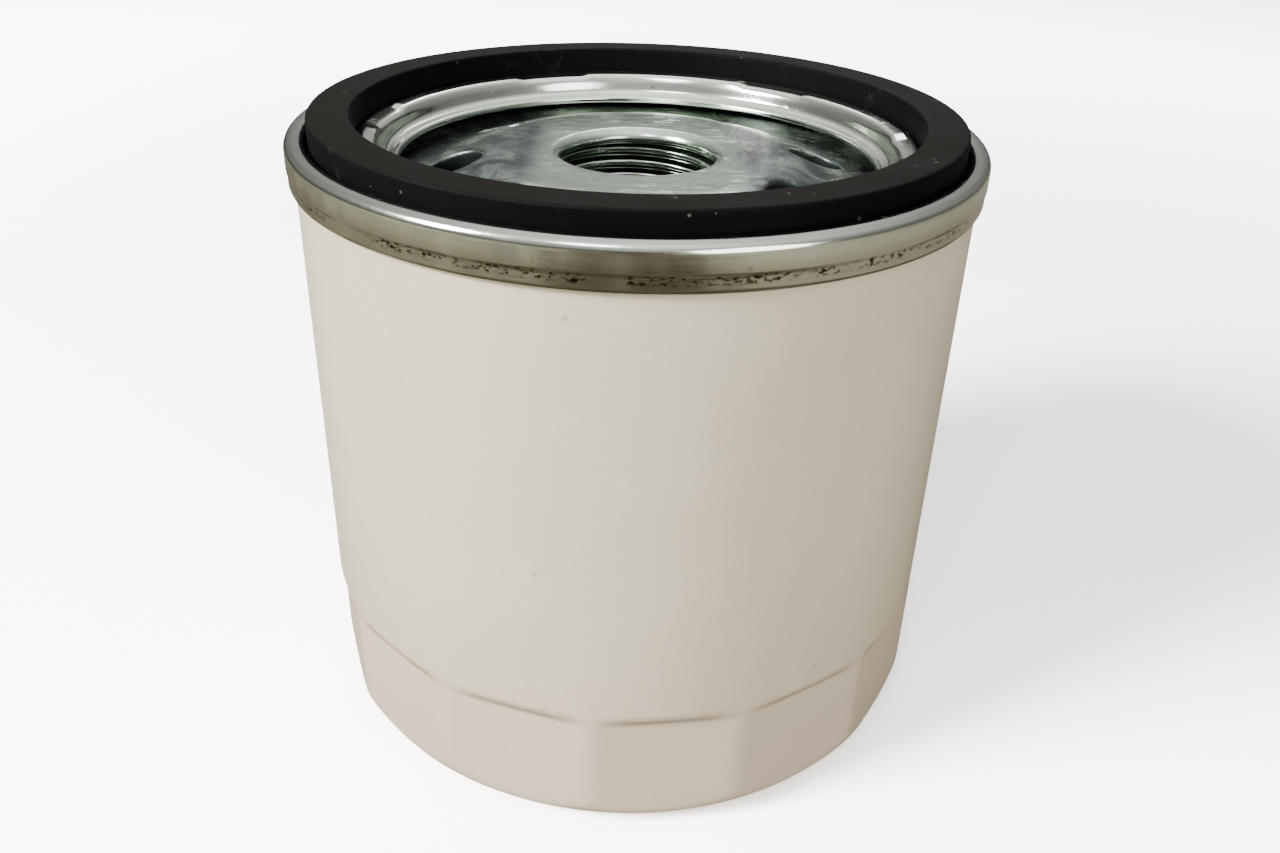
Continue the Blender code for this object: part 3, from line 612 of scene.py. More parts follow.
def blackRubber(name, look):
    # moulded rubber: a brownish bloom on what faces up, which also paints the tops lighter than the sides,
    # fine grain and dust
    made, tree, shader = newMaterial(name, 0.0)
    # painted light: the bloom is laid only on faces that look up, so the tops are lighter than the sides
    upward = mapRange(tree, facingUp(tree), 0.45, 0.95)
    cloud = groupNode(tree, blotches, Scale=110.0, Coverage=0.55, Softness=0.3)["Mask"]
    bloom = times(tree, upward, plus(tree, 0.7, times(tree, cloud, 0.3)))
    colour = blendColour(tree, bloom, look["rubber"], look["bloom"])
    scale, amount = look["dustScale"], look["dustAmount"]
    dust = groupNode(tree, specks, Scale=scale, Amount=amount, Size=0.2)["Mask"]
    lint = groupNode(tree, specks, Scale=scale * 0.4, Amount=amount * 0.5, Size=0.1)["Mask"]
    colour = tint(tree, colour, dust, 0.45, look["dust"])
    colour = tint(tree, colour, lint, 0.8, look["dust"])
    marks = groupNode(tree, scratches, Scale=430.0, Amount=0.3)["Mask"]
    colour = tint(tree, colour, marks, 0.12, look["dust"])
    finishSurface(tree, shader, colour, weigh(tree, (cloud, 0.12), (dust, 0.2)), look["roughness"])
    shader.inputs["Specular IOR Level"].default_value = look["shine"]
    grain = noise(tree, objectPoint(tree), 2600.0, 2.0, 0.6)
    addBump(tree, shader, weigh(tree, (grain, 0.35), (dust, 0.8), (lint, 1.2), (cloud, 0.5)), 0.45, 0.05 * mm)
    return made


def matt(name, look):
    # a matt, uneven solid such as paper, adhesive, compound or moulded nylon
    made, tree, shader = newMaterial(name, 0.0)
    cloud = groupNode(tree, blotches, Scale=look["cloudScale"], Coverage=0.5, Softness=0.25)["Mask"]
    colour = blendColour(tree, cloud, look["light"], look["dark"])
    stretch = tree.nodes.new("ShaderNodeMapping")
    stretch.inputs["Scale"].default_value = look["fibre"]
    tree.links.new(objectPoint(tree), stretch.inputs["Vector"])
    fibres = noise(tree, stretch.outputs["Vector"], look["grainScale"], 5.0, 0.7, 0.8)
    streak = mapRange(tree, fibres, 0.42, 0.68)
    colour = tint(tree, colour, streak, look["fleck"], look["mark"])
    finishSurface(tree, shader, colour, weigh(tree, (cloud, 0.1), (streak, 0.08)), look["roughness"])
    shader.inputs["Sheen Weight"].default_value = look.get("sheen", 0.0)
    shader.inputs["Subsurface Weight"].default_value = look.get("glow", 0.0)
    shader.inputs["Subsurface Scale"].default_value = 1.0 * mm
    addBump(tree, shader, weigh(tree, (fibres, 1.0), (cloud, 0.6)), 0.5, look["relief"])
    return made


# The can: a drawn shell whose lower wall is pressed into flats for a wrench

can = {
    "radius": 37.7 * mm,
    "wall": 0.5 * mm,
    "cornerRadius": 5.0 * mm,
    "flats": 14,
    "phase": math.radians(7.5),
    "shoulder": sealHeight - 56.3 * mm,
    "shoulderBlend": 2.3 * mm,
    "cornerProud": 0.14 * mm,
    "softness": 0.5 * mm,
    "dishRadius": 13.0 * mm,
    "dishDepth": 0.8 * mm,
    "facetsPerFlat": 20,
}

paintLook = {
    "cream": (0.67, 0.62, 0.475),
    "creamDeep": (0.61, 0.555, 0.42),
    "warm": (0.585, 0.465, 0.36),
    "smudge": (0.42, 0.41, 0.38),
    "grimeAndShade": (0.22, 0.18, 0.135),
    "scuff": (0.78, 0.76, 0.72),
    "roughness": 0.36,
    "shoulder": can["shoulder"],
    "radius": can["radius"],
}


def pressFlatsTree():
    # moves the wall in to a flat between two corners, below the shoulder
    inputs = {
        "Flats": 14, "Phase": 0.0, "Shoulder Height": 0.016, "Shoulder Blend": 0.0015,
        "Wall Radius": 0.0377, "Corner Proud": 0.0003, "Softness": 0.0005,
    }
    tree, entry, leave = newGeometryTree("pressFlats", inputs)
    position = tree.nodes.new("GeometryNodeInputPosition").outputs[0]
    angle, radius, height, x, y = cylinderSockets(tree, position)
    pitch, turn = shareOfTurn(tree, angle, entry["Phase"], entry["Flats"])
    half = times(tree, pitch, 0.5)
    across = calc(tree, "COSINE", minus(tree, turn, half))
    corner = plus(tree, entry["Wall Radius"], entry["Corner Proud"])
    flat = calc(tree, "DIVIDE", times(tree, corner, calc(tree, "COSINE", half)), across)
    grown = plus(tree, radius, entry["Corner Proud"])
    pressed = calc(tree, "SMOOTH_MIN", grown, flat, entry["Softness"])
    reach = times(tree, entry["Shoulder Blend"], 0.5)
    low = minus(tree, entry["Shoulder Height"], reach)
    high = plus(tree, entry["Shoulder Height"], reach)
    share = mapRange(tree, height, low, high, 1.0, 0.0)
    inside = mapRange(tree, radius, times(tree, corner, 0.6), times(tree, corner, 0.9))
    change = times(tree, minus(tree, pressed, radius), times(tree, share, inside))
    scale = calc(tree, "DIVIDE", plus(tree, radius, change), calc(tree, "MAXIMUM", radius, 1e-6))
    moved = (times(tree, x, scale), times(tree, y, scale), height)
    endTree(tree, entry, leave, setPosition(tree, entry["Geometry"], *moved))
    return tree


def makeCan():
    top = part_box("can")[1].z
    wall, shoulder, dish, depth = (can[key] for key in ("radius", "shoulder", "dishRadius", "dishDepth"))
    corners = [
        (wall, top, 0),
        (wall, shoulder + 3 * mm, 0),
        (wall, shoulder - 3 * mm, 0),
        (wall, 0.0, can["cornerRadius"]),
        (dish + 2 * depth, 0.0, 1.5 * mm),
        (dish, depth, 1.2 * mm),
        (1e-9, depth, 0),
    ]
    outline = roundCorners(corners, 14, closed=False)
    fine = []
    for start, end in zip(outline, outline[1:]):
        nearShoulder = abs((start[1] + end[1]) / 2 - shoulder) < 3.5 * mm and start[0] > 30 * mm
        fine += finerOutline([start, end], 0.15 * mm if nearShoulder else 1.2 * mm, closed=False)[:-1]
    fine.append(outline[-1])
    shell = turned("canShell", fine, can["flats"] * can["facetsPerFlat"], closed=False)
    paint = canPaint(paintLook)
    values = {
        "Flats": can["flats"],
        "Phase": can["phase"],
        "Shoulder Height": shoulder,
        "Shoulder Blend": can["shoulderBlend"],
        "Wall Radius": wall,
        "Corner Proud": can["cornerProud"],
        "Softness": can["softness"],
        "Material": paint,
    }
    applyTree(shell, pressFlatsTree(), values)
    sheetMetal(shell, can["wall"])
    settle(shell)
    fit(shell, "housing", ["can"], paint)


makeCan()
print("can made")


# The seaming lid: hole edge, ring with six retaining pads, gasket channel, then the seam's bead and band

lid = {
    "sheet": 0.6 * mm,
    "holeRadius": 26.8 * mm,
    "holeBelowSeal": 5.3 * mm,
    "ridgeBelowSeal": 2.8 * mm,
    "channelInner": 31.15 * mm,
    "channelOuter": 36.3 * mm,
    "floorBelowSeal": 6.5 * mm,
    "seamRadius": 38.5 * mm,
    "seamTopBelowSeal": 2.0 * mm,
    "seamBottomBelowSeal": 6.8 * mm,
    "pads": 6,
    "padPhase": math.radians(53.5),
    "padShare": 0.70,
    "padHeight": 0.24 * mm,
    "padInner": 28.7 * mm,
    "padOuter": 30.7 * mm,
    "facets": 288,
}

lidLook = {
    "zinc": (0.76, 0.83, 0.73),
    "zincDeep": (0.66, 0.74, 0.64),
    "blue": (0.36, 0.41, 0.48),
    "bloom": (0.86, 0.89, 0.83),
    "grimeAndShade": (0.012, 0.012, 0.012),
    "brown": (0.30, 0.23, 0.14),
    "beadShade": (0.15, 0.17, 0.145),
    "roughness": 0.10,
    "relief": 0.006 * mm,
    "blueAmount": 0.30,
    "lines": 5200.0,
    "scratched": 0.36,
    "seamRadius": lid["seamRadius"],
    "rubLow": sealHeight - 6.1 * mm,
    "rubHigh": sealHeight - 4.9 * mm,
}


def pressPadsTree():
    # raises evenly spaced pads on the ring between two radii
    inputs = {
        "Pads": 6, "Phase": 0.0, "Share": 0.7, "Height": 0.0004,
        "Inner Radius": 0.0287, "Outer Radius": 0.0307, "Lowest": 0.0,
    }
    tree, entry, leave = newGeometryTree("pressPads", inputs)
    position = tree.nodes.new("GeometryNodeInputPosition").outputs[0]
    angle, radius, height, x, y = cylinderSockets(tree, position)
    pitch, turn = shareOfTurn(tree, angle, entry["Phase"], entry["Pads"])
    half = times(tree, pitch, 0.5)
    middle = calc(tree, "ABSOLUTE", minus(tree, turn, half))
    end = times(tree, half, entry["Share"])
    along = mapRange(tree, middle, minus(tree, end, 0.018), plus(tree, end, 0.018), 1.0, 0.0)
    edge = 0.35 * mm
    near, far = entry["Inner Radius"], entry["Outer Radius"]
    inner = mapRange(tree, radius, near, plus(tree, near, edge))
    outer = mapRange(tree, radius, minus(tree, far, edge), far, 1.0, 0.0)
    onTop = calc(tree, "GREATER_THAN", height, entry["Lowest"])
    share = times(tree, times(tree, inner, outer), times(tree, along, onTop))
    lift = plus(tree, height, times(tree, share, entry["Height"]))
    endTree(tree, entry, leave, setPosition(tree, entry["Geometry"], x, y, lift))
    return tree


def makeLid():
    below = ("holeBelowSeal", "ridgeBelowSeal", "floorBelowSeal", "seamTopBelowSeal", "seamBottomBelowSeal")
    edge, ridge, floor, seamTop, seamBottom = (sealHeight - lid[key] for key in below)
    radii = ("holeRadius", "channelInner", "channelOuter", "seamRadius")
    hole, inner, outer, seam = (lid[key] for key in radii)
    corners = [
        (hole, edge - 0.75 * mm, 0),
        (hole, edge - 0.05 * mm, 0.45 * mm),
        (hole + 1.5 * mm, edge + 0.1 * mm, 0.8 * mm),
        (inner - 2.3 * mm, ridge - 0.45 * mm, 1.0 * mm),
        (inner, ridge + 0.05 * mm, 0.45 * mm),
        (inner, floor, 0.3 * mm),
        (outer, floor, 0.3 * mm),
        (outer, seamTop, 0.95 * mm),
        (seam, seamTop, 1.15 * mm),
        (seam, seamBottom + 1.9 * mm, 0.6 * mm),
        (seam - 0.12 * mm, seamBottom + 1.5 * mm, 0.6 * mm),
        (seam - 0.12 * mm, seamBottom + 0.35 * mm, 0.4 * mm),
        (seam - 0.3 * mm, seamBottom, 0),
    ]
    cover = turnedCorners("seamingLid", corners, 8, 0.22 * mm, lid["facets"], closed=False)
    zinc = zincPlate("lidZinc", lidLook)
    values = {
        "Pads": lid["pads"],
        "Phase": lid["padPhase"],
        "Share": lid["padShare"],
        "Height": lid["padHeight"],
        "Inner Radius": lid["padInner"],
        "Outer Radius": lid["padOuter"],
        "Lowest": floor + 1.0 * mm,
        "Material": zinc,
    }
    applyTree(cover, pressPadsTree(), values)
    sheetMetal(cover, lid["sheet"])
    settle(cover)
    fit(cover, "housing", ["seaming_lid"], zinc)


makeLid()
print("lid made")


# The sealing gasket: a square-cut ring standing proud of the seam

gasket = {"width": 4.55 * mm, "edge": 0.35 * mm, "facets": 288}

gasketLook = {
    "rubber": (0.0015, 0.0015, 0.0014),
    "bloom": (0.0056, 0.0050, 0.0038),
    "dust": (0.30, 0.28, 0.25),
    "roughness": 0.55,
    "shine": 0.06,
    "dustScale": 900.0,
    "dustAmount": 0.08,
}


def makeGasket():
    low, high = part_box("sealing_gasket")
    corners = squareRing(high.x - gasket["width"], high.x, low.z, high.z, gasket["edge"])
    ring = turnedCorners("sealingGasket", corners, 6, 0.5 * mm, gasket["facets"])
    fit(ring, "housing", ["sealing_gasket"], blackRubber("gasketRubber", gasketLook))


makeGasket()
print("gasket made")


# The base plate: rim, slope punched with inlet holes, raised middle, rolled mouth and threaded hub

plate = {
    "thickness": 3.0 * mm,
    "rise": 2.4 * mm,
    "footRadius": 24.9 * mm,
    "topRadius": 17.6 * mm,
    "bendReach": 1.3 * mm,
    "crestRadius": 8.75 * mm,
    "hubRadius": 11.6 * mm,
    "mouthRound": 1.25 * mm,
    "threadPitch": 25.4 * mm / 16,
    "threadDepth": 0.86 * mm,
    "crestShare": 0.13,
    "flankShare": 0.30,
    "holes": 8,
    "holeRadius": 3.1 * mm,
    "holeCircle": 20.65 * mm,
    "holePhase": math.radians(8.6),
    "holeLip": 0.45 * mm,
    "cellMargin": 4.3 * mm,
    "cellSteps": 28,
    "cellSideSteps": 12,
}

plateLook = {
    "zinc": (0.53, 0.63, 0.54),
    "zincDeep": (0.36, 0.46, 0.38),
    "blue": (0.045, 0.058, 0.06),
    "bloom": (0.80, 0.86, 0.79),
    "grimeAndShade": (0.06, 0.06, 0.06),
    "roughness": 0.16,
    "relief": 0.011 * mm,
    "sideShadeFrom": 9.4 * mm,
    "boreRadius": plate["crestRadius"],
    "mouthEnd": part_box("base_plate")[1].z - plate["mouthRound"],
    "boreShade": (0.085, 0.11, 0.082),
    "wallShadeFrom": 14.0 * mm,
    "wallShade": (0.03, 0.045, 0.033),
    "blueAmount": 0.36,
    "lines": 2600.0,
    "scratched": 0.44,
}

plateLow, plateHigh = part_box("base_plate")
plateCrown = plateHigh.z  # the raised middle
plateFlat = plateCrown - plate["rise"]  # the flat outside the slope
plateNear = plate["holeCircle"] - plate["cellMargin"]  # the ring that the holes' cells take up
plateFar = plate["holeCircle"] + plate["cellMargin"]
plateSlope = math.atan2(plate["rise"], plate["footRadius"] - plate["topRadius"])
underShift = plate["thickness"] * math.tan(plateSlope / 2)  # how far out the bends lie on the underside


def plateHeight(radius, shift=0.0):
    # the plate's face: raised middle, slope and outer flat, with soft bends
    reach = plate["bendReach"]

    def bend(distance):
        if distance <= -reach:
            return 0.0
        if distance >= reach:
            return distance
        return (distance + reach) ** 2 / (4 * reach)

    grade = plate["rise"] / (plate["footRadius"] - plate["topRadius"])
    fall = bend(radius + shift - plate["topRadius"]) - bend(radius + shift - plate["footRadius"])
    return plateCrown - grade * fall


def punchedCells(points, faces):
    # eight cells of the sloped ring, each a grid that closes in on its punched hole and runs down its wall
    thickness = plate["thickness"]
    near, far = plateNear, plateFar
    halfCell = math.pi / plate["holes"]
    across, along = plate["cellSteps"], plate["cellSideSteps"]
    border = [(near, -1 + 2 * k / across) for k in range(across)]
    border += [(near + (far - near) * k / along, 1) for k in range(along)]
    border += [(far, 1 - 2 * k / across) for k in range(across)]
    border += [(far - (far - near) * k / along, -1) for k in range(along)]
    lip, hole = plate["holeLip"], plate["holeRadius"]
    rings = [("top", 0.0, share) for share in (0.0, 0.2, 0.4, 0.58, 0.72, 0.84, 0.93, 1.0)]
    rings += [("topLip", 90 * step / 5, 1.0) for step in range(1, 6)]
    rings += [("wall", step / 4, 1.0) for step in range(1, 4)]
    rings += [("underLip", 90 * step / 4, 1.0) for step in range(4, 0, -1)]
    rings += [("under", 0.0, share) for share in (1.0, 0.8, 0.55, 0.3, 0.0)]
    count = len(border)
    for cell in range(plate["holes"]):
        middle = plate["holePhase"] + math.tau * cell / plate["holes"]
        centre = Vector((plate["holeCircle"] * math.cos(middle), plate["holeCircle"] * math.sin(middle)))
        start = len(points)
        for kind, value, share in rings:
            for radius, side in border:
                angle = middle + side * halfCell
                outer = Vector((radius * math.cos(angle), radius * math.sin(angle)))
                aim = (outer - centre).normalized()
                turn = math.radians(value)
                size = hole + lip
                if kind in ("topLip", "underLip"):
                    size = hole + lip * (1 - math.sin(turn))
                elif kind == "wall":
                    size = hole
                spot = outer.lerp(centre + aim * size, share)
                top = plateHeight(spot.length)
                under = plateHeight(spot.length, underShift) - thickness
                drop = lip * (1 - math.cos(turn))
                if kind in ("top", "topLip"):
                    height = top - drop
                elif kind in ("under", "underLip"):
                    height = under + drop
                else:
                    height = top - lip + (under - top + 2 * lip) * value
                points.append((spot.x, spot.y, height))
        for ring in range(len(rings) - 1):
            for index in range(count):
                after = (index + 1) % count
                a, b = start + ring * count + index, start + ring * count + after
                faces.append((a, b, b + count, a + count))


def threadRadius(angle, height, mouth, end):
    # a right-hand thread cut outwards from its crests, fading in below the mouth and out at the hub's end
    turns = (height - mouth) / plate["threadPitch"] - angle / math.tau
    away = abs((turns + 0.5) % 1 - 0.5)
    groove = min(max((away - plate["crestShare"]) / plate["flankShare"], 0.0), 1.0)
    groove = groove * groove * (3 - 2 * groove) * 0.35 + groove * 0.65
    fade = min(1.0, max(0.0, (mouth - height) / (0.35 * plate["threadPitch"])))
    fade = min(fade, max(0.0, (height - end) / (0.25 * plate["threadPitch"])))
    return plate["crestRadius"] + plate["threadDepth"] * groove * fade


def makePlate():
    thickness = plate["thickness"]
    near, far = plateNear, plateFar
    rim, hub, bore, mouth = plateHigh.x, plate["hubRadius"], plate["crestRadius"], plate["mouthRound"]
    end = plateLow.z
    points, faces = [], []
    punchedCells(points, faces)
    inward = [near - (near - bore - mouth) * k / 14 for k in range(15)]
    mouthArc = [math.radians(90 * k / 10) for k in range(1, 11)]
    inner = [(radius, plateHeight(radius)) for radius in inward]
    inner += [(bore + mouth * (1 - math.sin(a)), plateCrown - mouth * (1 - math.cos(a))) for a in mouthArc]
    mouthEnd = plateCrown - mouth
    rows = int((mouthEnd - end) / (0.075 * mm))
    inner += [(None, mouthEnd + (end + 0.15 * mm - mouthEnd) * k / rows) for k in range(1, rows + 1)]
    inner += [(bore + 0.15 * mm, end), (hub - 0.3 * mm, end)]
    inner += [(hub - 0.09 * mm, end + 0.09 * mm), (hub, end + 0.3 * mm)]
    underside = plateCrown - thickness
    inner += [(hub, underside - 1.2 * mm)]
    inner += [(hub + mm * (1 - math.cos(a)), underside - mm * (1 - math.sin(a))) for a in mouthArc]
    underRadii = [hub + 1.3 * mm + (near - hub - 1.3 * mm) * k / 8 for k in range(9)]
    inner += [(radius, plateHeight(radius, underShift) - thickness) for radius in underRadii]
    outerRadii = [rim - 0.3 * mm - (rim - 0.3 * mm - far) * k / 16 for k in range(17)]
    outer = [(radius, plateHeight(radius, underShift) - thickness) for radius in reversed(outerRadii)]
    outer += [(rim - 0.09 * mm, plateFlat - thickness + 0.09 * mm), (rim, plateFlat - thickness + 0.3 * mm)]
    outer += [(rim, plateFlat - 0.3 * mm), (rim - 0.09 * mm, plateFlat - 0.09 * mm)]
    outer += [(radius, plateHeight(radius)) for radius in outerRadii]
    around = plate["holes"] * plate["cellSteps"]
    for stretch in (inner, outer):
        start = len(points)
        for turn in range(around):
            angle = plate["holePhase"] + math.tau * (turn / around - 0.5 / plate["holes"])
            for radius, height in stretch:
                size = threadRadius(angle, height, mouthEnd, end + 0.1 * mm) if radius is None else radius
                points.append((size * math.cos(angle), size * math.sin(angle), height))
        count = len(stretch)
        for turn in range(around):
            here, beside = start + turn * count, start + (turn + 1) % around * count
            for index in range(count - 1):
                faces.append((here + index, here + index + 1, beside + index + 1, beside + index))
    tapped = meshObject("tappedPlate", points, faces, outward=True)
    fit(tapped, "housing", ["base_plate"], zincPlate("plateZinc", plateLook))


makePlate()
print("base plate made")


# Pieces inside the can. Sizes that a neighbour depends on are read from the frame.

innerLook = {
    "tinplate": {
        "light": (0.66, 0.66, 0.63), "dark": (0.52, 0.52, 0.50), "mark": (0.30, 0.29, 0.28),
        "roughness": 0.24, "cloudScale": 120.0, "lines": 3500.0,
    },
    "tubeSteel": {
        "light": (0.52, 0.53, 0.52), "dark": (0.40, 0.41, 0.41), "mark": (0.68, 0.68, 0.66),
        "roughness": 0.34, "cloudScale": 150.0, "lines": 1800.0,
    },
    "clipSteel": {
        "light": (0.62, 0.62, 0.60), "dark": (0.48, 0.48, 0.47), "mark": (0.74, 0.74, 0.72),
        "roughness": 0.3, "cloudScale": 200.0, "lines": 2500.0,
    },
    "valveSteel": {
        "light": (0.56, 0.57, 0.57), "dark": (0.42, 0.44, 0.45), "mark": (0.72, 0.72, 0.70),
        "roughness": 0.28, "cloudScale": 220.0, "lines": 4500.0,
    },
    "springSteel": {
        "light": (0.26, 0.25, 0.24), "dark": (0.15, 0.145, 0.14), "mark": (0.46, 0.45, 0.43),
        "roughness": 0.26, "cloudScale": 260.0, "lines": 900.0,
    },
    "resinPaper": {
        "light": (0.66, 0.50, 0.25), "dark": (0.58, 0.42, 0.19), "mark": (0.75, 0.62, 0.38),
        "roughness": 0.85, "cloudScale": 90.0, "fibre": (1.0, 1.0, 0.45), "grainScale": 1400.0,
        "fleck": 0.5, "relief": 0.10 * mm, "sheen": 0.15,
    },
    "plastisol": {
        "light": (0.46, 0.12, 0.06), "dark": (0.36, 0.08, 0.04), "mark": (0.58, 0.20, 0.12),
        "roughness": 0.42, "cloudScale": 160.0, "fibre": (1.0, 1.0, 1.0), "grainScale": 700.0,
        "fleck": 0.25, "relief": 0.12 * mm, "glow": 0.1,
    },
    "sealingCompound": {
        "light": (0.38, 0.36, 0.31), "dark": (0.28, 0.27, 0.24), "mark": (0.50, 0.48, 0.42),
        "roughness": 0.6, "cloudScale": 300.0, "fibre": (1.0, 1.0, 1.0), "grainScale": 1800.0,
        "fleck": 0.3, "relief": 0.06 * mm,
    },
    "nylon": {
        "light": (0.66, 0.62, 0.50), "dark": (0.60, 0.56, 0.44), "mark": (0.74, 0.71, 0.62),
        "roughness": 0.38, "cloudScale": 240.0, "fibre": (1.0, 1.0, 0.3), "grainScale": 1900.0,
        "fleck": 0.35, "relief": 0.03 * mm, "glow": 0.15,
    },
    "valveRubber": {
        "rubber": (0.006, 0.006, 0.0065), "bloom": (0.012, 0.012, 0.0125), "dust": (0.25, 0.25, 0.25),
        "roughness": 0.42, "shine": 0.3, "dustScale": 1100.0, "dustAmount": 0.02,
    },
}

steels = ("tinplate", "tubeSteel", "clipSteel", "valveSteel", "springSteel")
tinplate, tubeSteel, clipSteel, valveSteel, springSteel = (steel(name, innerLook[name]) for name in steels)
matts = ("resinPaper", "plastisol", "sealingCompound", "nylon")
resinPaper, plastisol, sealingCompound, nylon = (matt(name, innerLook[name]) for name in matts)
valveRubber = blackRubber("valveRubber", innerLook["valveRubber"])


# The diaphragm under the plate, its collar, skirt and lip

diaphragm = {
    "collarRadius": 16.2 * mm,
    "collarRise": 0.6 * mm,
    "skirt": 1.1 * mm,
    "clearance": 0.3 * mm,
}


def makeDiaphragm():
    low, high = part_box("anti_drain_valve")
    collar, skirt, gap = diaphragm["collarRadius"], diaphragm["skirt"], diaphragm["clearance"]
    bore, foot, lip = plate["hubRadius"] + gap, plate["footRadius"], high.x
    lipTop = plateFlat - plate["thickness"] - gap
    droop = low.z + skirt
    sole = low.z + diaphragm["collarRise"]
    corners = [
        (bore, high.z, 1.0 * mm),
        (collar, high.z, 0.5 * mm),
        (collar, sole + skirt, 0.8 * mm),
        (foot, droop, 1.2 * mm),
        (lip - skirt, lipTop, 0.3 * mm),
        (lip, lipTop, 0.25 * mm),
        (lip, lipTop - skirt / 2, 0.25 * mm),
        (foot, droop - skirt, 1.2 * mm),
        (collar, sole, 0.8 * mm),
        (bore, sole, 0.4 * mm),
    ]
    skin = turnedCorners("drainDiaphragm", corners, 6, 0.5 * mm, roundSteps)
    fit(skin, "drain_valve", ["anti_drain_valve"], valveRubber)


# The seam's sealing compound

compound = {"width": 0.4 * mm, "edge": 0.15 * mm, "facets": 240}


def makeCompound():
    low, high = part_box("seam_sealant")
    corners = squareRing(high.x - compound["width"], high.x, low.z, high.z, compound["edge"])
    ring = turned("seamCompound", roundCorners(corners, 4), compound["facets"])
    fit(ring, "housing", ["seam_sealant"], sealingCompound)


# Coil springs

supportCoil = {"radius": 19.0 * mm, "wire": 1.6 * mm, "turns": 2.5, "ease": 0.8}
bypassCoil = {"radius": 5.6 * mm, "wire": 0.9 * mm, "turns": 5.0, "ease": 0.5}
pointsPerTurn = 48


def coilTree():
    # a wire wound up round the axis, its end turns lying flatter than the middle ones
    inputs = {
        "Turns": 5.0, "Radius": 0.01, "Wire": 0.001, "Bottom": 0.0, "Top": 0.01, "Ease": 0.5, "Points": 120,
    }
    tree, entry, leave = newGeometryTree("coil", inputs)
    line = tree.nodes.new("GeometryNodeCurvePrimitiveLine")
    points = tree.nodes.new("GeometryNodeResampleCurve")
    tree.links.new(line.outputs[0], points.inputs["Curve"])
    tree.links.new(entry["Points"], points.inputs["Count"])
    share = tree.nodes.new("GeometryNodeSplineParameter").outputs["Factor"]
    turn = times(tree, share, math.tau)
    angle = times(tree, turn, entry["Turns"])
    flatter = times(tree, calc(tree, "SINE", turn), calc(tree, "DIVIDE", entry["Ease"], math.tau))
    climb = minus(tree, share, flatter)
    half = times(tree, entry["Wire"], 0.5)
    rise = minus(tree, minus(tree, entry["Top"], entry["Bottom"]), entry["Wire"])
    x, y = roundAxis(tree, angle, entry["Radius"])
    z = plus(tree, plus(tree, entry["Bottom"], half), times(tree, climb, rise))
    wound = setPosition(tree, points.outputs["Curve"], x, y, z)
    section = tree.nodes.new("GeometryNodeCurvePrimitiveCircle")
    section.inputs["Resolution"].default_value = 16
    tree.links.new(half, section.inputs["Radius"])
    wire = tree.nodes.new("GeometryNodeCurveToMesh")
    tree.links.new(wound, wire.inputs["Curve"])
    tree.links.new(section.outputs["Curve"], wire.inputs["Profile Curve"])
    wire.inputs["Fill Caps"].default_value = True
    endTree(tree, entry, leave, wire.outputs["Mesh"])
    return tree


def makeCoil(name, tree, coil, body, node):
    low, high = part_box(node)
    spring = newObject(name, bpy.data.meshes.new(name))
    values = {
        "Turns": coil["turns"],
        "Radius": coil["radius"],
        "Wire": coil["wire"],
        "Ease": coil["ease"],
        "Bottom": low.z,
        "Top": high.z,
        "Points": int(coil["turns"] * pointsPerTurn) + 1,
        "Material": springSteel,
    }
    applyTree(spring, tree, values)
    settle(spring, wireAngle)
    fit(spring, body, [node], springSteel)
    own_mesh(spring)


# The element: end caps, adhesive, pleated paper with its clip, perforated tube

element = {
    "capSheet": 0.5 * mm,
    "capRadius": 33.5 * mm,
    "capClearance": 0.6 * mm,
    "capRaise": 1.9 * mm,
    "capNeck": 9.5 * mm,
    "pourInner": 14.3 * mm,
    "pourEdge": 0.3 * mm,
    "pourSag": 0.12 * mm,
    "pleats": 36,
    "paper": 0.5 * mm,
    "pleatOuter": 31.75 * mm,
    "pleatInner": 14.95 * mm,
    "clipSheet": 0.3 * mm,
    "clipDepth": 3.5 * mm,
    "clipHalfWidth": 1.4 * mm,
    "clipRows": 12,
    "clipBend": 0.5 * mm,
    "tubeWall": 0.6 * mm,
    "tubeEdge": 0.15 * mm,
    "tubeHoleRadius": 2.3 * mm,
    "tubeRows": 3,
    "tubeHoles": 8,
    "seatSheet": 0.6 * mm,
    "seatWidth": 5.7 * mm,
}


def makeEndCaps():
    radius, collar = element["capRadius"], diaphragm["collarRadius"]
    # a groove pressed between these radii stiffens each cap
    grooveOut, grooveOutFoot, grooveInFoot, grooveIn = (radius - step * mm for step in (2.8, 3.6, 5.2, 6.0))
    low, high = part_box("top_end_cap")
    flat = high.z - element["capRaise"]
    dip = flat - 0.25 * mm
    upper = [
        (plate["hubRadius"] + element["capClearance"], high.z, 0),
        (collar, high.z, 0.6 * mm),
        (collar + 1.9 * mm, flat, 0.6 * mm),
        (grooveIn, flat, 0.6 * mm),
        (grooveInFoot, dip, 0.5 * mm),
        (grooveOutFoot, dip, 0.5 * mm),
        (grooveOut, flat, 0.6 * mm),
        (radius, flat, 0.8 * mm),
        (radius, low.z, 0),
    ]
    low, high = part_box("bottom_end_cap")
    dip = low.z + 0.2 * mm
    lower = [
        (radius, high.z, 0),
        (radius, low.z, 0.8 * mm),
        (grooveOut, low.z, 0.6 * mm),
        (grooveOutFoot, dip, 0.5 * mm),
        (grooveInFoot, dip, 0.5 * mm),
        (grooveIn, low.z, 0.6 * mm),
        (element["capNeck"], low.z, 0),
    ]
    caps = (("topEndCap", "top_end_cap", upper), ("bottomEndCap", "bottom_end_cap", lower))
    for name, node, corners in caps:
        cap = turnedCorners(name, corners, 6, 0.6 * mm, roundSteps, closed=False)
        sheetMetal(cap, element["capSheet"])
        settle(cap)
        fit(cap, "element", [node], tinplate)


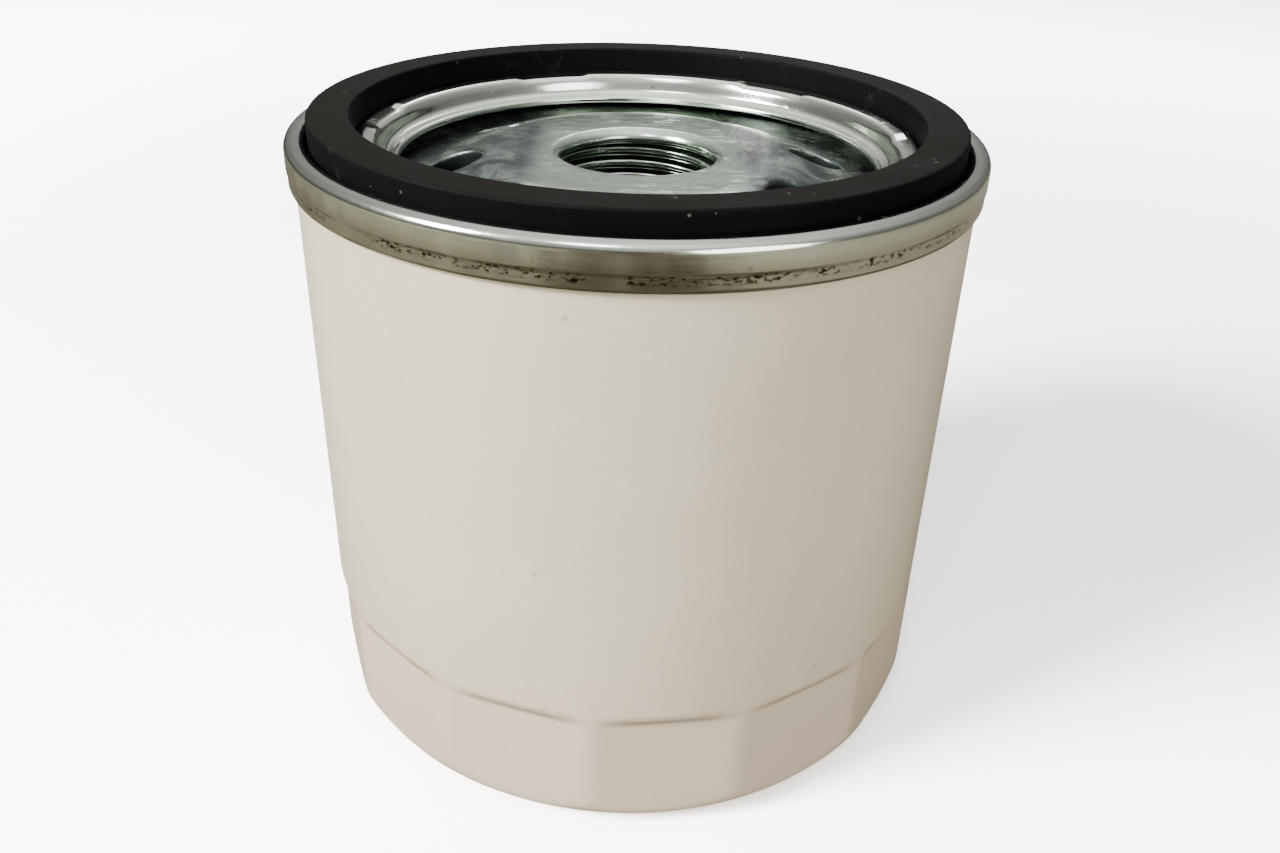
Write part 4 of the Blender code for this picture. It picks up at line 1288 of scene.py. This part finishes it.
def makeAdhesive(name, node):
    # a poured ring whose free face sags a little between the pleats
    low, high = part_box(node)
    corners = squareRing(element["pourInner"], high.x, low.z, high.z, element["pourEdge"])
    pour = turnedCorners(name, corners, 4, 0.8 * mm, element["pleats"] * 6)
    for vertex in pour.data.vertices:
        angle = math.atan2(vertex.co.y, vertex.co.x)
        swell = element["pourSag"] / 2 * (math.cos(angle * element["pleats"]) - 1)
        if vertex.co.z > high.z - 0.1 * mm:
            vertex.co.z += swell
        elif vertex.co.z < low.z + 0.1 * mm:
            vertex.co.z -= swell
    fit(pour, "element", [node], plastisol)


def pleatTree():
    # a ring of paper folded in and out, with round folds, drawn up to its height
    inputs = {
        "Pleats": 36, "Inner Radius": 0.015, "Outer Radius": 0.032,
        "Bottom": 0.0, "Height": 0.04, "Points Per Pleat": 28,
    }
    tree, entry, leave = newGeometryTree("pleats", inputs)
    ring = tree.nodes.new("GeometryNodeMeshCircle")
    tree.links.new(times(tree, entry["Pleats"], entry["Points Per Pleat"]), ring.inputs["Vertices"])
    position = tree.nodes.new("GeometryNodeInputPosition").outputs[0]
    angle = cylinderSockets(tree, position)[0]
    turns = times(tree, angle, calc(tree, "DIVIDE", entry["Pleats"], math.tau))
    share = calc(tree, "FRACT", plus(tree, turns, 1000.0))
    fold = calc(tree, "ABSOLUTE", minus(tree, times(tree, share, 2.0), 1.0))
    ramp = mapRange(tree, fold, 0.10, 0.92, smooth=False)
    ramp = calc(tree, "SMOOTH_MIN", ramp, 1.0, 0.05)
    ramp = calc(tree, "SMOOTH_MAX", ramp, 0.0, 0.05)
    depth = minus(tree, entry["Outer Radius"], entry["Inner Radius"])
    reach = plus(tree, entry["Inner Radius"], times(tree, depth, ramp))
    folded = setPosition(tree, ring.outputs["Mesh"], *roundAxis(tree, angle, reach), entry["Bottom"])
    draw = tree.nodes.new("GeometryNodeExtrudeMesh")
    draw.mode = "EDGES"
    tree.links.new(folded, draw.inputs["Mesh"])
    tree.links.new(joinXyz(tree, 0.0, 0.0, 1.0), draw.inputs["Offset"])
    tree.links.new(entry["Height"], draw.inputs["Offset Scale"])
    endTree(tree, entry, leave, draw.outputs["Mesh"])
    return tree


def makeMedia():
    low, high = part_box("filter_media")
    paper = newObject("pleatedPaper", bpy.data.meshes.new("pleatedPaper"))
    half = element["paper"] / 2
    values = {
        "Pleats": element["pleats"],
        "Inner Radius": element["pleatInner"] + half,
        "Outer Radius": element["pleatOuter"] - half,
        "Bottom": low.z,
        "Height": high.z - low.z,
        "Material": resinPaper,
    }
    applyTree(paper, pleatTree(), values)
    sheetMetal(paper, element["paper"], 0.0, even=False)
    settle(paper, foldAngle)
    faceOutward(paper, weld=1e-6)
    fit(paper, "element", ["filter_media"], resinPaper)


def makeClip():
    # a strip folded over one pleat's outer edge
    low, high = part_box("media_clip")
    sheet, half, bend = element["clipSheet"], element["clipHalfWidth"], element["clipBend"]
    outside = high.x - sheet / 2
    inside = outside - element["clipDepth"]
    path = [(inside, half, 0), (outside, half, bend), (outside, -half, bend), (inside, -half, 0)]
    path = finerOutline(roundCorners(path, 6, closed=False), 0.4 * mm, closed=False)
    rows = element["clipRows"]
    points = []
    for row in range(rows + 1):
        height = low.z + (high.z - low.z) * row / rows
        points += [(x, y, height) for x, y in path]
    count = len(path)
    faces = []
    for row in range(rows):
        for index in range(count - 1):
            a = row * count + index
            faces.append((a, a + 1, a + 1 + count, a + count))
    strip = meshObject("paperClip", points, faces)
    sheetMetal(strip, sheet, 0.0, even=False)
    settle(strip, wireAngle)
    faceOutward(strip)
    fit(strip, "element", ["media_clip"], clipSteel)


def perforateTree():
    # cuts a piece with copies of a cutter, in rows round the axis
    inputs = {
        "Cutter": "NodeSocketObject", "Around": 8, "Rows": 3, "First Height": 0.0,
        "Pitch": 0.01, "Radius": 0.014, "Stagger": 0.5,
    }
    tree, entry, leave = newGeometryTree("perforate", inputs)
    spots = tree.nodes.new("GeometryNodeMeshLine")
    tree.links.new(times(tree, entry["Around"], entry["Rows"]), spots.inputs["Count"])
    index = tree.nodes.new("GeometryNodeInputIndex").outputs[0]
    row = calc(tree, "FLOOR", calc(tree, "DIVIDE", plus(tree, index, 0.5), entry["Around"]))
    shift = times(tree, calc(tree, "FLOORED_MODULO", row, 2.0), entry["Stagger"])
    angle = calc(tree, "DIVIDE", times(tree, plus(tree, index, shift), math.tau), entry["Around"])
    x, y = roundAxis(tree, angle, entry["Radius"])
    z = plus(tree, entry["First Height"], times(tree, row, entry["Pitch"]))
    spread = setPosition(tree, spots.outputs["Mesh"], x, y, z)
    tool = tree.nodes.new("GeometryNodeObjectInfo")
    tree.links.new(entry["Cutter"], tool.inputs["Object"])
    copies = tree.nodes.new("GeometryNodeInstanceOnPoints")
    tree.links.new(spread, copies.inputs["Points"])
    tree.links.new(tool.outputs["Geometry"], copies.inputs["Instance"])
    tree.links.new(joinXyz(tree, 0.0, 0.0, angle), copies.inputs["Rotation"])
    solid = tree.nodes.new("GeometryNodeRealizeInstances")
    tree.links.new(copies.outputs["Instances"], solid.inputs["Geometry"])
    cut = tree.nodes.new("GeometryNodeMeshBoolean")
    cut.operation = "DIFFERENCE"
    tree.links.new(entry["Geometry"], cut.inputs["Mesh 1"])
    tree.links.new(solid.outputs["Geometry"], cut.inputs["Mesh 2"])
    endTree(tree, entry, leave, cut.outputs["Mesh"])
    return tree


def punch(piece, tree, cutter, values, material):
    # cuts the piece with copies of the cutter, which isn't kept
    tool = newObject(piece.name + "Punch", keepMesh(cutter, bpy.data.meshes.new(piece.name + "Punch")))
    applyTree(piece, tree, {**values, "Cutter": tool, "Material": material})
    settle(piece, cutAngle)
    bpy.data.objects.remove(tool)


def makeTube(tree):
    low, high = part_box("centre_tube")
    outer = high.x
    inner = outer - element["tubeWall"]
    corners = squareRing(inner, outer, low.z, high.z, element["tubeEdge"])
    pipe = turnedCorners("perforatedTube", corners, 3, 4.0 * mm, 96)
    drill = bmesh.new()
    size = {"radius1": element["tubeHoleRadius"], "radius2": element["tubeHoleRadius"], "depth": 4 * mm}
    outward = Matrix.Rotation(math.pi / 2, 4, "Y")
    bmesh.ops.create_cone(drill, cap_ends=True, segments=40, matrix=outward, **size)
    mediaLow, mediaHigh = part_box("filter_media")
    pitch = (mediaHigh.z - mediaLow.z) / element["tubeRows"]
    values = {
        "Around": element["tubeHoles"],
        "Rows": element["tubeRows"],
        "Pitch": pitch,
        "First Height": mediaLow.z + pitch / 2,
        "Radius": (inner + outer) / 2,
    }
    punch(pipe, tree, drill, values, tubeSteel)
    fit(pipe, "element", ["centre_tube"], tubeSteel)


def makeSpringSeat():
    low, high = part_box("spring_seat")
    outer = high.x
    corners = [
        (outer - element["seatWidth"], high.z, 0),
        (outer, high.z, 0.8 * mm),
        (outer, low.z + 0.4 * mm, 0.5 * mm),
        (outer - 0.05 * mm, low.z, 0),
    ]
    dish = turnedCorners("springSeat", corners, 6, 0.5 * mm, roundSteps, closed=False)
    sheetMetal(dish, element["seatSheet"])
    settle(dish)
    fit(dish, "element", ["spring_seat"], tinplate)


# The bypass valve: seat, seal, poppet, spring and cage

bypass = {
    "port": 6.0 * mm,
    "neck": 9.2 * mm,
    "neckWall": 0.8 * mm,
    "seatSheet": 0.8 * mm,
    "stem": 1.8 * mm,
    "disc": 1.0 * mm,
    "boss": 4.2 * mm,
    "sealEdge": 0.25 * mm,
    "cageSheet": 0.6 * mm,
    "cageRadius": 10.8 * mm,
    "windows": 3,
    "windowWidth": 11.0 * mm,
    "windowRound": 2.0 * mm,
    "clearance": 0.3 * mm,
}


def makeBypassSeat():
    low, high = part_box("bypass_seat")
    under = high.z - bypass["seatSheet"]
    port, neck, wall, edge = bypass["port"], bypass["neck"], bypass["neckWall"], 0.2 * mm
    corners = [
        (port, high.z, edge),
        (high.x, high.z, edge),
        (high.x, under, edge),
        (neck, under, 0.3 * mm),
        (neck, low.z, edge),
        (neck - wall, low.z, edge),
        (neck - wall, under, 0.3 * mm),
        (port, under, edge),
    ]
    seat = turnedCorners("bypassSeat", corners, 4, 0.6 * mm, valveSteps)
    fit(seat, "element", ["bypass_seat"], valveSteel)


def makeBypassSeal():
    low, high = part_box("bypass_seal")
    inner = bypass["boss"] + bypass["clearance"]
    corners = squareRing(inner, high.x, low.z, high.z, bypass["sealEdge"])
    washer = turnedCorners("bypassSeal", corners, 4, 0.4 * mm, valveSteps)
    fit(washer, "bypass_valve", ["bypass_seal"], valveRubber)


def makePoppet():
    low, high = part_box("bypass_poppet")
    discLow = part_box("bypass_seal")[1].z + bypass["clearance"]
    discTop = discLow + bypass["disc"]
    stem, boss, disc = bypass["stem"], bypass["boss"], high.x
    corners = [
        (1e-9, high.z, 0),
        (stem, high.z, 0.4 * mm),
        (stem, discTop, 0.7 * mm),
        (disc, discTop, 0.25 * mm),
        (disc, discLow, 0.25 * mm),
        (boss, discLow, 0.2 * mm),
        (boss, low.z, 0.3 * mm),
        (1e-9, low.z, 0),
    ]
    valve = turnedCorners("bypassPoppet", corners, 6, 0.5 * mm, valveSteps, closed=False)
    fit(valve, "bypass_valve", ["bypass_poppet"], nylon)


def makeCage(tree):
    low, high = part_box("bypass_cage")
    sheet, wall = bypass["cageSheet"], bypass["cageRadius"]
    corners = [
        (bypass["stem"] + bypass["clearance"], high.z, 0),
        (wall, high.z, 1.2 * mm),
        (wall, low.z + sheet, 0.7 * mm),
        (high.x, low.z + sheet, 0),
    ]
    dome = turnedCorners("bypassCage", corners, 6, 0.7 * mm, valveSteps, closed=False)
    sheetMetal(dome, sheet)
    bottom = low.z + 2 * sheet
    top = high.z - 2 * sheet
    block = bmesh.new()
    bmesh.ops.create_cube(block, size=1.0)
    bmesh.ops.scale(block, vec=(6 * sheet, bypass["windowWidth"], top - bottom), verts=block.verts)
    long = [e for e in block.edges if abs(e.verts[0].co.x - e.verts[1].co.x) > sheet]
    bevel = {"offset": bypass["windowRound"], "segments": 6, "profile": 0.5, "affect": "EDGES"}
    bmesh.ops.bevel(block, geom=long, **bevel)
    values = {
        "Around": bypass["windows"],
        "Rows": 1,
        "Pitch": 0.0,
        "First Height": (bottom + top) / 2,
        "Radius": wall,
    }
    punch(dome, tree, block, values, valveSteel)
    fit(dome, "element", ["bypass_cage"], valveSteel)


coils = coilTree()
punches = perforateTree()
makeDiaphragm()
makeCompound()
makeCoil("supportSpring", coils, supportCoil, "housing", "support_spring")
makeCoil("bypassSpring", coils, bypassCoil, "element", "bypass_spring")
makeEndCaps()
makeAdhesive("topAdhesive", "top_adhesive")
makeAdhesive("bottomAdhesive", "bottom_adhesive")
makeMedia()
makeClip()
makeTube(punches)
makeSpringSeat()
makeBypassSeat()
makeBypassSeal()
makePoppet()
makeCage(punches)
print("element and valves made")


# Camera, floor and light

view = {
    "back": 128.2 * mm,
    "aboveSeal": 30.7 * mm,
    "pitch": math.radians(29.19),
    "yaw": math.radians(0.566),
    "roll": math.radians(1.944),
    "lens": 32.07,
}


def makeCamera():
    camera = bpy.data.cameras.new("camera")
    camera.lens = view["lens"]
    camera.sensor_width = 36.0
    camera.clip_start = 0.005
    camera.clip_end = 20.0
    rig = newObject("camera", camera)
    level = Vector((math.cos(view["yaw"]), -math.sin(view["yaw"]), 0.0))
    ahead = Vector((math.sin(view["yaw"]), math.cos(view["yaw"]), 0.0)) * math.cos(view["pitch"])
    ahead.z = -math.sin(view["pitch"])
    above = level.cross(ahead)
    right = level * math.cos(view["roll"]) + above * math.sin(view["roll"])
    up = above * math.cos(view["roll"]) - level * math.sin(view["roll"])
    turn = Matrix((right, up, -ahead)).transposed().to_4x4()
    rig.matrix_world = Matrix.Translation((0.0, -view["back"], sealHeight + view["aboveSeal"])) @ turn
    bpy.context.scene.camera = rig


studio = {
    "floorSize": 6.0,
    "floorSeen": (3.8, 3.8, 3.8),  # paper lit by its own lamps, so brighter than the light here makes it
    "floorBounce": (0.46, 0.40, 0.34),
    "floorSeenFar": (9.0, 9.0, 9.0),
    "floorMirrored": (0.055, 0.045, 0.031),
    "floorMirroredAside": (0.17, 0.155, 0.125),
    "floorMirroredRight": (0.32, 0.29, 0.235),
    "skySeen": (25.0, 25.0, 25.0),
    "skyRamp": ((0.0, 0.16), (0.25, 0.30), (0.55, 0.62), (0.9, 1.25)),
    "skyStrength": 0.38,
    "skyMirrored": 3.7,
    "skySides": 0.6,
}


def makeFloor():
    # white paper to the eye, a warm bench for the light that it sends back on to the filter
    made, tree, shader = newMaterial("floorPaper", 0.0)
    tree.nodes.remove(shader)
    cloth = tree.nodes.new("ShaderNodeBsdfDiffuse")
    path = tree.nodes.new("ShaderNodeLightPath")
    # the bench in front of the filter is in shade, so the seam mirrors a dark middle between lighter ends
    spot = objectPoint(tree)
    x = splitXyz(tree, spot)["X"]
    aside = mapRange(tree, calc(tree, "ABSOLUTE", x), 0.03, 0.14)
    uneven = mapRange(tree, noise(tree, spot, 30.0, 2.0), 0.42, 0.62, -0.25, 0.45)
    shade = calc(tree, "ADD", times(tree, aside, 0.7), uneven, clamp=True)
    mirrored = blendColour(tree, shade, studio["floorMirrored"], studio["floorMirroredAside"])
    right = mapRange(tree, x, 0.05, 0.16)
    mirrored = blendColour(tree, right, mirrored, studio["floorMirroredRight"])
    far = mapRange(tree, groupNode(tree, cylinderValues)["Radius"], 0.16, 0.55)
    seen = blendColour(tree, far, studio["floorSeen"], studio["floorSeenFar"])
    bench = blendColour(tree, path.outputs["Is Glossy Ray"], studio["floorBounce"], mirrored)
    tree.links.new(blendColour(tree, path.outputs["Is Camera Ray"], bench, seen), cloth.inputs["Color"])
    tree.links.new(cloth.outputs[0], tree.nodes["Material Output"].inputs["Surface"])
    half = studio["floorSize"] / 2
    corners = [(-half, -half, 0.0), (half, -half, 0.0), (half, half, 0.0), (-half, half, 0.0)]
    floor = meshObject("floor", corners, [(0, 1, 2, 3)])
    floor.data.materials.append(made)


lamps = {
    "keyLight": {"place": (-0.52, -0.26, 0.40), "size": 0.26, "power": 12.6, "colour": (1.0, 0.98, 0.95)},
    "frontLight": {"place": (-0.14, -0.48, 0.52), "size": 0.20, "power": 1.0, "colour": (1.0, 1.0, 1.0)},
    "backLight": {"place": (0.04, 0.50, 0.42), "size": 0.16, "power": 0.28, "colour": (0.98, 1.0, 0.98)},
    "fillLight": {"place": (0.34, -0.50, 0.12), "size": 0.40, "power": 2.5, "colour": (1.0, 0.97, 0.94)},
}


def areaLight(name, place, size, power, colour):
    aim = Vector((0.0, 0.0, 0.04))
    lamp = bpy.data.lights.new(name, "AREA")
    lamp.shape = "DISK"
    lamp.size = size
    lamp.energy = power
    lamp.color = colour
    rig = newObject(name, lamp)
    rig.location = place
    rig.rotation_euler = (aim - Vector(place)).to_track_quat("-Z", "Y").to_euler()


def makeSky():
    # a pale room: bright above, dim round the horizon, plain white where the camera looks straight at it
    world = bpy.data.worlds.new("room")
    bpy.context.scene.world = world
    world.use_nodes = True
    tree = world.node_tree
    ground = tree.nodes["Background"]
    ahead = splitXyz(tree, tree.nodes.new("ShaderNodeTexCoord").outputs["Generated"])
    ramp = tree.nodes.new("ShaderNodeValToRGB")
    stops = studio["skyRamp"]
    while len(ramp.color_ramp.elements) < len(stops):
        ramp.color_ramp.elements.new(0.5)
    for element, (at, value) in zip(ramp.color_ramp.elements, stops):
        element.position = at
        element.color = (value, value * 0.99, value * 0.97, 1.0)
    tree.links.new(ahead["Z"], ramp.inputs[0])
    path = tree.nodes.new("ShaderNodeLightPath")
    colour = blendColour(tree, path.outputs["Is Camera Ray"], ramp.outputs[0], studio["skySeen"])
    tree.links.new(colour, ground.inputs["Color"])
    sides = times(tree, calc(tree, "ABSOLUTE", ahead["X"]), studio["skySides"])
    share = minus(tree, 1.15, sides)
    brighter = minus(tree, times(tree, share, studio["skyMirrored"]), 1.0)
    mirrored = times(tree, path.outputs["Is Glossy Ray"], calc(tree, "MAXIMUM", brighter, 0.0))
    strength = times(tree, plus(tree, mirrored, 1.0), studio["skyStrength"])
    tree.links.new(strength, ground.inputs["Strength"])


makeCamera()
makeFloor()
makeSky()
for name, lamp in lamps.items():
    areaLight(name, **lamp)
print("camera, floor and light made")
